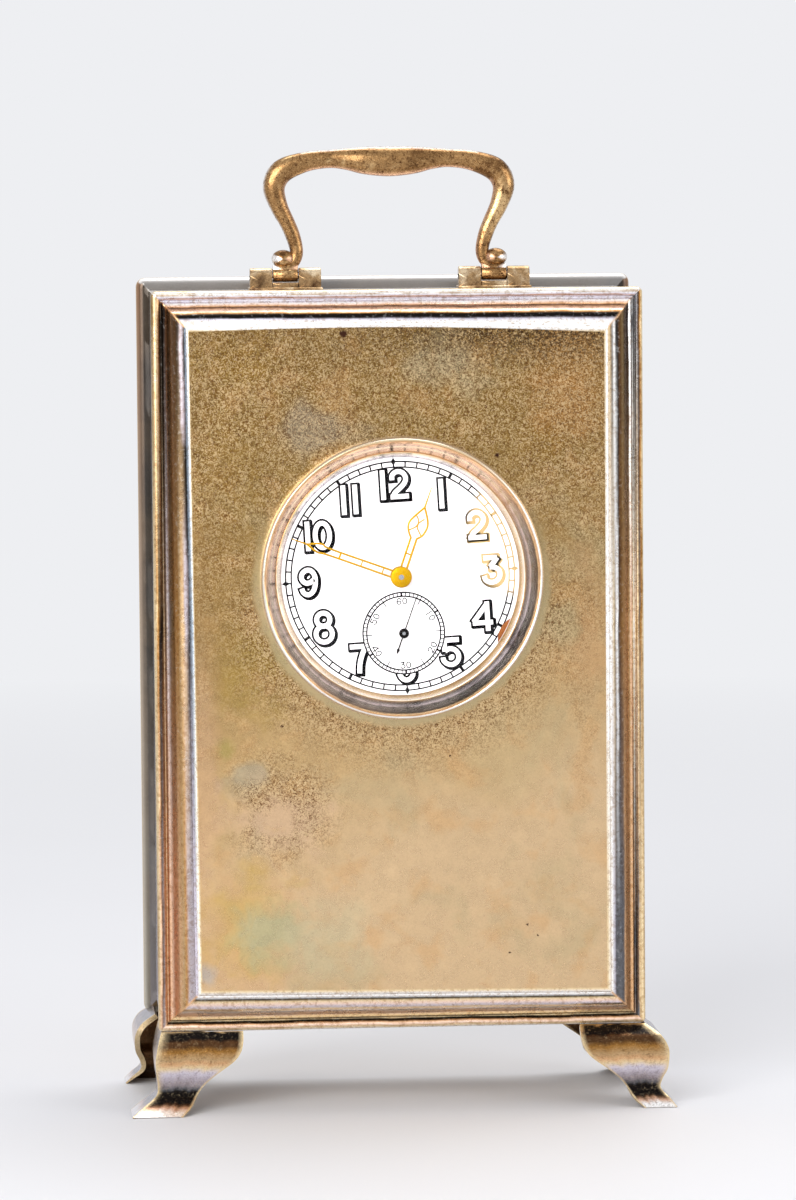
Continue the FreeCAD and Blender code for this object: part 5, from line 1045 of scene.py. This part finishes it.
FIGURES = {
    "1": straight((0, -2.5), (0, 2.5)),
    "2": [smooth((-1.15, 0.75), (-1.1, 1.55), (-0.35, 2.12), (0.6, 1.95), (1.15, 1.15), (0.95, 0.2),
                 (0.1, -0.7), (-0.75, -1.4), (-1.2, -2.2))] + straight((-1.55, -2.1), (1.55, -2.1)),
    "3": straight((-1.35, 2.1), (0.95, 2.1)) + straight((1.0, 2.05), (-0.25, 0.55))
    + [smooth((-0.35, 0.5), (0.45, 0.45), (1.2, -0.1), (1.3, -1.05), (0.75, -1.85), (-0.2, -2.1),
              (-1.1, -1.7), (-1.35, -0.95))],
    "4": straight((0.85, 2.1), (-1.55, -0.85)) + straight((-1.7, -1.05), (1.75, -1.05))
    + straight((0.85, 2.5), (0.85, -2.5)),
    "5": straight((-1.1, 2.1), (1.45, 2.1)) + straight((-1.05, 2.3), (-1.05, 0.2))
    + [smooth((-1.0, 0.25), (-0.3, 0.62), (0.65, 0.4), (1.25, -0.45), (1.1, -1.45), (0.3, -2.05),
              (-0.65, -1.95), (-1.3, -1.35), (-1.4, -0.8))],
    "6": [smooth((1.2, 1.0), (0.9, 1.75), (0.1, 2.12), (-0.75, 1.5), (-1.15, 0.3), (-1.15, -0.9),
                 (-0.65, -1.85), (0.15, -2.1), (0.95, -1.6), (1.15, -0.7), (0.6, 0.05),
                 (-0.3, 0.05), (-1.0, -0.5))],
    "7": straight((-1.5, 2.05), (1.5, 2.05))
    + [smooth((1.2, 2.1), (0.5, 0.6), (0.05, -0.9), (-0.1, -2.5))],
    "8": [circle(1.12, 40, 0.0, 1.32), circle(1.38, 44, 0.0, -1.12)],
    "0": [toward(np.linspace(0, 360, 48)) * [1.22, 2.08]],
}
FIGURES["9"] = [-path for path in FIGURES["6"]]
HOURS = {hour: ((str(hour), 0.0),) for hour in range(1, 10)}
HOURS |= {10: (("1", -1.75), ("0", 0.75)), 11: (("1", -1.0), ("1", 1.0)), 12: (("1", -2.0), ("2", 0.75))}
HOUR_CIRCLE = 15.6


def figure_bands(layer, half, grow, steps):
    """Bands for all twelve hours: each lies a little off the one before, so that none share a plane."""
    bands = []
    for hour, parts in HOURS.items():
        for figure, shift in parts:
            for path in FIGURES[figure]:
                for step in steps:
                    moved = path + HOUR_CIRCLE * toward(30 * hour) + [shift + step, -step]
                    bands.append(on_dial(strip(moved, half, grow), layer + 0.15 * (len(bands) % 5)))
    return bands


# %% [markdown]
# ### Tracks and seconds dial
#
# Round the edge runs a railway track of sixty minutes, thicker at the hours, with a diamond at
# each quarter. The seconds dial lies over the lower figures: a white disc, its own track, and
# small figures that stand outwards above and inwards below.

# %% The minute track
TRACK_OUT = 19.45
TRACK_IN = 18.5
HAIR, THICK = 0.13, 0.26
DIAMOND_TALL, DIAMOND_WIDE = 0.72, 0.42


def diamond(radius, degrees):
    """A diamond on the track: two rows that meet at its points."""
    out, across = toward(degrees), toward(degrees + 90)
    middle = out * radius
    low, high = middle - out * DIAMOND_TALL, middle + out * DIAMOND_TALL
    return np.array([[low, middle + side * across * DIAMOND_WIDE, high] for side in (-1, 1)])


def minute_track():
    """Two circles, sixty ticks and four diamonds."""
    bands = [strip(circle(radius, 181), HAIR) for radius in (TRACK_OUT, TRACK_IN)]
    for minute in range(60):
        quarter = minute % 15 == 0
        half = HAIR if minute % 5 or quarter else THICK
        bands.append(strip(ray(TRACK_IN, TRACK_OUT, 6 * minute), half))
        if quarter:
            bands.append(diamond(TRACK_OUT, 6 * minute))
    return [on_dial(band, 1) for band in bands]


# %% The seconds dial
SUB_OUT, SUB_IN, SUB_LONG = 6.93, 6.28, 5.3
SUB_HOLE = 0.75


def on_sub_dial(flat, layer):
    """Points about the seconds arbor laid on the dial."""
    c, s = math.cos(PRINT_TURN), math.sin(PRINT_TURN)
    centre = (SUB_X * c - SUB_DROP * s, -SUB_X * s - SUB_DROP * c)
    return on_dial(flat, layer, PRINT_TURN, centre)


def sub_disc():
    """A white disc that covers what lies under the seconds dial, with a hole for the arbor."""
    return on_sub_dial(np.stack([circle(SUB_HOLE, 61), circle(SUB_OUT, 61)]), 3)


def sub_track():
    """Two circles and sixty ticks, thick at the tens and long at the fives."""
    bands = [strip(circle(radius, 91), HAIR) for radius in (SUB_OUT, SUB_IN)]
    for second in range(60):
        inner = SUB_LONG if second % 10 == 5 else SUB_IN
        half = 0.17 if second % 10 == 0 else 0.08
        bands.append(strip(ray(inner, SUB_OUT, 6 * second), half))
    return [on_sub_dial(band, 4) for band in bands]


def sub_figures():
    """Small figures at the tens, made of thin strokes."""
    small, gap, ring = 0.24, 0.50, 5.45
    bands = []
    for second in (60, 10, 20, 30, 40, 50):
        degrees = 6 * second
        turn = degrees if second in (60, 50, 10) else degrees + 180
        spin = np.array([toward(turn + 90), toward(turn)])
        for figure, side in zip(str(second), (-1, 1)):
            for path in FIGURES[figure]:
                local = (path * [small * 1.15, small] + [side * gap, 0.0]) @ spin
                bands.append(on_sub_dial(strip(local + ring * toward(degrees), 0.09, 0.02), 4))
    return bands


CHIP_EDGE, CHIP_DEEP = 20.12, 0.85
CHIP_START, CHIP_SPAN = 111.5, 13.5


def chip():
    """A sliver of bare ground by the edge near the four: two arcs that meet at its ends."""
    share = np.linspace(0, 1, 24)
    outer = CHIP_EDGE * toward(CHIP_START + CHIP_SPAN * share)
    inner = outer * (1 - CHIP_DEEP / CHIP_EDGE * np.sin(np.pi * share) ** 0.8)[:, None]
    return on_dial(np.stack([outer, inner]), 5, 0.0)


# %% Lay the print
PRINT_SHEET = 0.008
black = figure_bands(1, STROKE + OUTLINE, OUTLINE, np.linspace(0, SHADOW, 7)) + minute_track()
for name, grids, finish in (
    ("dial_figures", black, PRINT), ("dial_figure_fill", figure_bands(2, STROKE, 0.0, (0.0,)), ENAMEL),
    ("dial_chip", [chip()], CHIP), ("seconds_ground", [sub_disc()], ENAMEL),
    ("seconds_print", sub_track() + sub_figures(), PRINT),
):
    make_piece(name, grids, finish, "case", sheet=PRINT_SHEET)

# %% [markdown]
# ## Hands
#
# Open hands are pierced from thin brass and gilt. Each rail, curl and needle is a slim bar with
# a rounded top, carried along a curve, and a domed boss covers the middle.

# %% Bars and bosses
def hand_place(node):
    """The middle of a hand's thickness, from its solid."""
    low, high = box_mm(node)
    return (low[1] + high[1]) / 2


def hand_bars(lines, degrees, y, count=30, centre=(0.0, 0.0)):
    """Slim bars laid at a hand's angle. Each line gives points (along the hand, to its right), half
    the bar's width, and half its width at the far end where it tapers."""
    turn = math.radians(degrees)
    bars = []
    for points, half, *taper in lines:
        path = np.array(points, float)
        path = evenly(curve_through(path, 80), count) if len(points) > 2 else evenly(path, 8)
        along, right = path.T
        x = centre[0] + along * math.cos(turn) + right * math.sin(turn)
        z = centre[1] + along * math.sin(turn) - right * math.cos(turn)
        flat = np.stack([x, np.full(len(x), y), DIAL_Z + z], axis=1)
        bars.append(swept(flat, np.linspace(half, *(taper or [half]), len(flat)), 0.10, 10))
    return bars


def boss(radius, y, rise, x=0.0, z=0.0, hole=0.0):
    """A flat disc with a rounded edge, and a hole in the middle if one is given."""
    profile = np.array([
        (hole, y - rise), (radius * 0.86, y - rise), (radius * 0.95, y - rise * 0.8),
        (radius, y - rise * 0.3), (radius, y + rise * 0.6), (hole, y + rise * 0.6), (hole, y - rise),
    ])
    return turned(profile, x, DIAL_Z + z, 48)


# %% The hour hand
HOUR_ANGLE, MINUTE_ANGLE, SECOND_ANGLE = 70.5, 160.0, 70.5
hour_y = hand_place("hour_hand")
hour_lines = [
    ([(1.2, -0.5), (6.9, -0.58)], 0.18), ([(1.2, 0.5), (7.0, 0.45)], 0.18),
    ([(6.85, -0.6), (7.6, -1.2), (8.5, -1.62), (9.5, -1.6), (10.7, -1.0), (12.4, 0.0)], 0.17),
    ([(6.95, 0.45), (7.35, 0.9), (7.9, 1.25), (9.0, 1.5), (9.9, 1.42), (10.9, 0.95),
      (12.4, 0.0)], 0.17),
    ([(10.75, -0.95), (10.2, -0.42), (9.45, -0.14), (8.7, -0.05), (7.65, 0.95)], 0.11),
    ([(10.5, 0.62), (9.95, 0.18), (9.45, -0.14), (8.75, -0.42), (7.95, -1.3)], 0.11),
    ([(4.06, -0.5), (4.06, 0.5)], 0.12),
    ([(12.2, 0.0), (15.9, 0.0)], 0.17, 0.08),
]
hour_grids = [*hand_bars(hour_lines, HOUR_ANGLE, hour_y), boss(1.7, hour_y, 0.11)]
make_piece("hour_pointer", hour_grids, GILT, "hour_group", ["hour_hand"])

# %% The minute hand
minute_y = hand_place("minute_hand")
minute_lines = [
    ([(1.4, -0.55), (12.8, -0.55), (14.4, -0.72), (15.4, -0.55), (16.9, 0.0)], 0.17),
    ([(1.4, 0.55), (12.8, 0.55), (14.2, 0.85), (15.3, 0.7), (16.9, 0.0)], 0.17),
    ([(3.3, -0.5), (3.3, 0.5)], 0.11), ([(7.1, -0.5), (7.1, 0.5)], 0.11),
    ([(11.0, -0.5), (11.0, 0.5)], 0.17),
    ([(16.7, 0.0), (19.65, 0.0)], 0.16, 0.08),
]
arbor_end = min(box_mm(node)[0][1] for node in ("cannon_pinion", "minute_hand"))
minute_grids = [*hand_bars(minute_lines, MINUTE_ANGLE, minute_y, 40),
                boss(1.8, minute_y, minute_y - arbor_end + 0.08, hole=0.42)]
make_piece("minute_pointer", minute_grids, GILT, "minute_group", ["minute_hand"])
# A black disc at the arbor's end fills the boss's hole: painted shade for the dark inside of the hole.
make_piece("arbor_shade", [boss(0.44, arbor_end, 0.03)], BLACKED, "minute_group")
make_piece("arbor_pip", [boss(0.2, arbor_end, 0.06)], STEEL, "minute_group")
print("arbor end", arbor_end, "minute hand", minute_y)

# %% The seconds hand
second_y = hand_place("second_hand")
second_lines = [
    ([(-3.6, 0.0), (6.5, 0.0)], 0.13, 0.09), ([(-3.7, 0.0), (-3.0, 0.0)], 0.04, 0.28),
    ([(-3.0, 0.0), (-2.6, 0.0)], 0.28, 0.05),
]
second_grids = [*hand_bars(second_lines, SECOND_ANGLE, second_y, centre=(SUB_X, -SUB_DROP)),
                boss(0.84, second_y, 0.12, SUB_X, -SUB_DROP)]
make_piece("second_pointer", second_grids, BLACKED, "seconds_group", ["second_hand"])

# %% [markdown]
# ## The handle and its lugs
#
# The handle is cast: a bow whose bar swells to a belly in the middle, two round shoulders, and
# arms that draw in and curl out to a small ball above each hinge. An oval section carried along
# one smooth path has the right soft look. The lugs are small milled blocks.

# %% The bow
lug_low, lug_high = box_mm("handle_lug_right")
HINGE_Y = (lug_low[1] + lug_high[1]) / 2
PIN = 1.2
HINGE_Z = lug_high[2] - PIN
SEAT_X = (lug_low[0] + lug_high[0]) / 2
BOW_HALF = 19.75
BOW_RISE = 19.75
BELLY = 2.56
BOW_ROWS = (
    (0.000, 0.975, 1.00), (0.213, 0.985, 0.92), (0.365, 0.998, 0.73), (0.522, 1.000, 0.61),
    (0.724, 0.977, 0.67), (0.927, 0.899, 0.80), (1.000, 0.767, 0.75), (0.962, 0.603, 0.61),
    (0.886, 0.448, 0.52), (0.841, 0.339, 0.50), (0.810, 0.218, 0.45), (0.818, 0.145, 0.43),
    (0.858, 0.092, 0.42), (0.920, 0.085, 0.43), (0.952, 0.122, 0.46),
)


def bow_grid():
    """The bow: rows hold shares of half width, of rise and of the belly's thickness."""
    half = np.array(BOW_ROWS)
    rows = np.vstack([half[::-1], half[1:] * [-1, 1, 1]])
    line = evenly(curve_through(rows * [BOW_HALF, BOW_RISE, BELLY], 300), 150)
    path = np.stack([line[:, 0], np.full(len(line), HINGE_Y), HINGE_Z + line[:, 1]], axis=1)
    return swept(path, line[:, 2], line[:, 2] * 0.78, 28)


def curl_ball(x, z, radius=1.55, stretch=1.28):
    """The ball at an arm's end: a lathe shape about a level axis, stretched sideways."""
    angle = np.linspace(0, np.pi, 17)
    line = np.stack([radius * np.sin(angle), HINGE_Y - radius * np.cos(angle)], axis=1)
    grid = turned(line, x, z, 28)
    grid[..., 0] = x + (grid[..., 0] - x) * stretch
    return grid


def pin_along_x(x_start, x_end, edge=0.12):
    """A round bar along the hinge's axis with softened ends."""
    x = np.array([x_start, x_start, x_start + edge, x_end - edge, x_end, x_end])
    r = np.array([0.0, PIN - edge, PIN, PIN, PIN - edge, 0.0])
    angle = np.linspace(0, 2 * np.pi, 33)
    return np.stack([np.broadcast_to(x[:, None], (6, 33)), HINGE_Y + r[:, None] * np.cos(angle),
                     HINGE_Z + r[:, None] * np.sin(angle)], axis=-1)


def block(low, high, edge=0.12):
    """A block with softened edges: rounded rectangles stacked from front to back."""
    low, high = np.array(low, float), np.array(high, float)
    half, middle = (high - low) / 2, (high + low) / 2
    inset = np.array([half[0], edge, 0.0, 0.0, edge, half[0]])
    x_half, z_half = (np.maximum(half[k] - inset, 0.0) for k in (0, 2))
    x_half[[0, -1]] = z_half[[0, -1]] = 0.0
    x, z = rounded_rectangle(x_half, z_half, np.minimum(edge, np.minimum(x_half, z_half)), 4)
    y = np.array([low[1], low[1], low[1] + edge, high[1] - edge, high[1], high[1]])
    return np.stack([x + middle[0], np.broadcast_to(y[:, None], x.shape), z + middle[2]], axis=-1)


def hinge_block(x_start, x_end, half_depth, low, high, edge=0.12):
    """A block about the hinge's axis, between two heights."""
    return block((x_start, HINGE_Y - half_depth, low), (x_end, HINGE_Y + half_depth, high), edge)


EYE = 2.15
bow_parts = [bow_grid()]
for side in (-1, 1):
    x = side * SEAT_X
    bow_parts += [curl_ball(x + side * 0.35, HINGE_Z + 2.75), pin_along_x(x - EYE, x + EYE),
                  hinge_block(x - EYE, x + EYE, 0.75, HINGE_Z, HINGE_Z + 1.7)]


def bow_tones(grids):
    """A painted highlight along the top of the bow, a rosy painted reflection along its lower edge, and
    the shader's own gold between.
    """
    tones = []
    for grid in grids:
        middle = grid.mean(axis=1, keepdims=True)
        out = (grid - middle) * np.sign(middle * [1, 0, 0] + [0, 0, 1e-9])
        size = np.abs(grid - middle).max(axis=(1, 2), keepdims=True)[..., 0] + 1e-6
        up = np.where(np.abs(middle[..., 0]) < 15, grid[..., 2] - middle[..., 2], out[..., 0]) / size
        colour = np.where(up[..., None] > 0, np.array(WHITE[:3]), np.array(ROSE[:3]))
        share = np.clip((up - 0.80) / 0.15, 0, 1) + 0.8 * np.clip((-up - 0.72) / 0.2, 0, 1)
        tones.append(with_share(colour, np.clip(share, 0, 0.9)))
    return tones


make_piece("handle_bow_cast", bow_parts, HANDLE_SILVER, "handle_bow", ["handle"],
           tones=bow_tones(bow_parts), sharp=50)

# %% The lugs
EAR_OUT, EAR_IN = 6.1, 2.27
for node in ("handle_lug_left", "handle_lug_right"):
    low, high = box_mm(node)
    x = (low[0] + high[0]) / 2
    base = low[2] + 0.6
    parts = [block(low, (high[0], high[1], low[2] + 0.8), 0.1)]
    for a, b in ((x - EAR_OUT, x - EAR_IN), (x + EAR_IN, x + EAR_OUT)):
        parts += [hinge_block(a, b, PIN, base, HINGE_Z, 0.1), pin_along_x(a, b)]
    parts.append(hinge_block(x - 2.2, x + 2.2, 1.1, base, HINGE_Z - 1.3, 0.1))
    make_piece(node + "_block", parts, LUG_SILVER, "case", [node], sharp=40)

# %% [markdown]
# ## The hidden pieces
#
# Plates, wheels, arbors and the rest keep their solids. Each gets the metal that a clockmaker
# would use: brass for plates and wheels, steel for arbors and springs, blued steel for screws.

# %% Finishes for the solids
SOLID_FINISHES = {
    BRASS: "main_plate back_plate plate_pillars movement_clamps barrel barrel_cover centre_wheel "
           "third_wheel fourth_wheel escape_wheel balance_wheel balance_cock movement_ring "
           "minute_wheel hour_wheel set_knob door_pull",
    STEEL: "barrel_arbor centre_pinion third_pinion fourth_pinion escape_pinion pallet_fork "
           "pallet_arbor balance_staff balance_roller regulator ratchet_wheel click winding_key "
           "cannon_pinion set_arbor door_hinge_pins lug_pins mainspring",
    BLUED: "plate_screws clamp_screws cock_screw click_screw click_spring hairspring",
    RUBY: "pallet_stones cap_jewel",
    ENAMEL: "dial",
    DOOR_SILVER: "back_door door_hinge_knuckles",
}
for finish, names in SOLID_FINISHES.items():
    for name in names.split():
        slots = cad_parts[name].data.materials
        slots.clear()
        slots.append(finish)

# %% [markdown]
# ## Floor, light and camera
#
# A pale floor takes the clock's shadow. The world is pale too, for the camera and for whatever
# the metal and glass mirror, and three large soft lamps give the light a direction. The camera
# stands where the photograph's did: a little to the left and above, with a long lens.

# %% The floor
BACKDROP = tone(238, 239, 242)


def stage_finish():
    """Matt white under the clock, where it takes the shadow, that fades into the backdrop's tone."""
    r = Recipe("floor_white", Roughness=0.6)
    r.finished(Base_Color=r.mix(r.noise(6.0, 2.0), tone(226, 226, 228), tone(232, 232, 234)))
    fade = r.times(r.range(r.vector("LENGTH", r.place), 0.16, 0.75), r.pale_rays())
    return r.give_way(fade, r.add("ShaderNodeEmission", {"Color": BACKDROP, "Strength": 1.0}))


def floor_grid(half=1.5, depth=2.5):
    """A flat sheet under the clock, in metres."""
    x, y = np.meshgrid(np.linspace(-half, half, 3), np.linspace(-depth, depth, 3))
    return np.stack([x, y, np.zeros_like(x)], axis=-1)


floor_mesh = bpy.data.meshes.new("floor")
floor_mesh.from_pydata(floor_grid().reshape(-1, 3).tolist(), [], grid_faces(3, 3, 0).tolist())
floor_mesh.materials.append(stage_finish())
put("floor", floor_mesh)


# %% The world and the lamps
def pale_world():
    """The backdrop's tone for the camera and for mirrored rays, and a softer light for the rest."""
    world = bpy.data.worlds.new("studio")
    world.use_nodes = True
    sky = Tree(world.node_tree)
    light = sky.mix(sky.pale_rays(), tone(172, 173, 178), BACKDROP)
    sky.tree.links.new(light, sky.tree.nodes["Background"].inputs["Color"])
    bpy.context.scene.world = world


def soft_lamp(name, place, size, power):
    """A square lamp in metres that looks at the clock's middle."""
    data = bpy.data.lights.new(name, "AREA")
    data.shape = "SQUARE"
    data.size = size
    data.energy = power
    lamp = put(name, data)
    lamp.location = place
    aim = np.array([0.0, 0.0, 0.08]) - place
    lamp.rotation_euler = (math.atan2(aim[2], math.hypot(aim[0], aim[1])) + math.pi / 2, 0.0,
                           math.atan2(aim[1], aim[0]) - math.pi / 2)


pale_world()
soft_lamp("key_lamp", (-0.5, -0.85, 0.42), 0.7, 9.5)
soft_lamp("top_lamp", (0.15, 0.25, 0.95), 0.7, 4.5)
soft_lamp("fill_lamp", (0.8, -0.6, 0.35), 0.6, 3.0)

# %% The camera
CAMERA_PLACE = (-77.7, -1020.0, 172.0)
CAMERA_YAW, CAMERA_PITCH, CAMERA_ROLL = 4.404, 4.808, -0.454
LENS = 178.85


def camera_axes(yaw, pitch, roll):
    """Right, up and back of a camera turned by yaw, tipped down by pitch, then rolled, in degrees."""
    yaw, pitch, roll = map(math.radians, (yaw, pitch, roll))
    level = math.cos(pitch)
    forward = np.array([math.sin(yaw) * level, math.cos(yaw) * level, -math.sin(pitch)])
    right = np.array([math.cos(yaw), -math.sin(yaw), 0.0])
    up = np.cross(right, forward)
    c, s = math.cos(roll), math.sin(roll)
    return np.stack([c * right + s * up, c * up - s * right, -forward], axis=1)


def add_camera():
    """A camera with the fitted place and turn."""
    data = bpy.data.cameras.new("camera")
    data.lens = LENS
    data.sensor_width = 36.0
    data.sensor_fit = "AUTO"
    data.clip_end = 20.0
    camera = put("camera", data)
    turn = mathutils.Matrix(camera_axes(CAMERA_YAW, CAMERA_PITCH, CAMERA_ROLL).tolist())
    camera.location = (np.array(CAMERA_PLACE) * MM).tolist()
    camera.rotation_euler = turn.to_euler()
    bpy.context.scene.camera = camera


add_camera()
bpy.context.scene.view_settings.view_transform = "Standard"
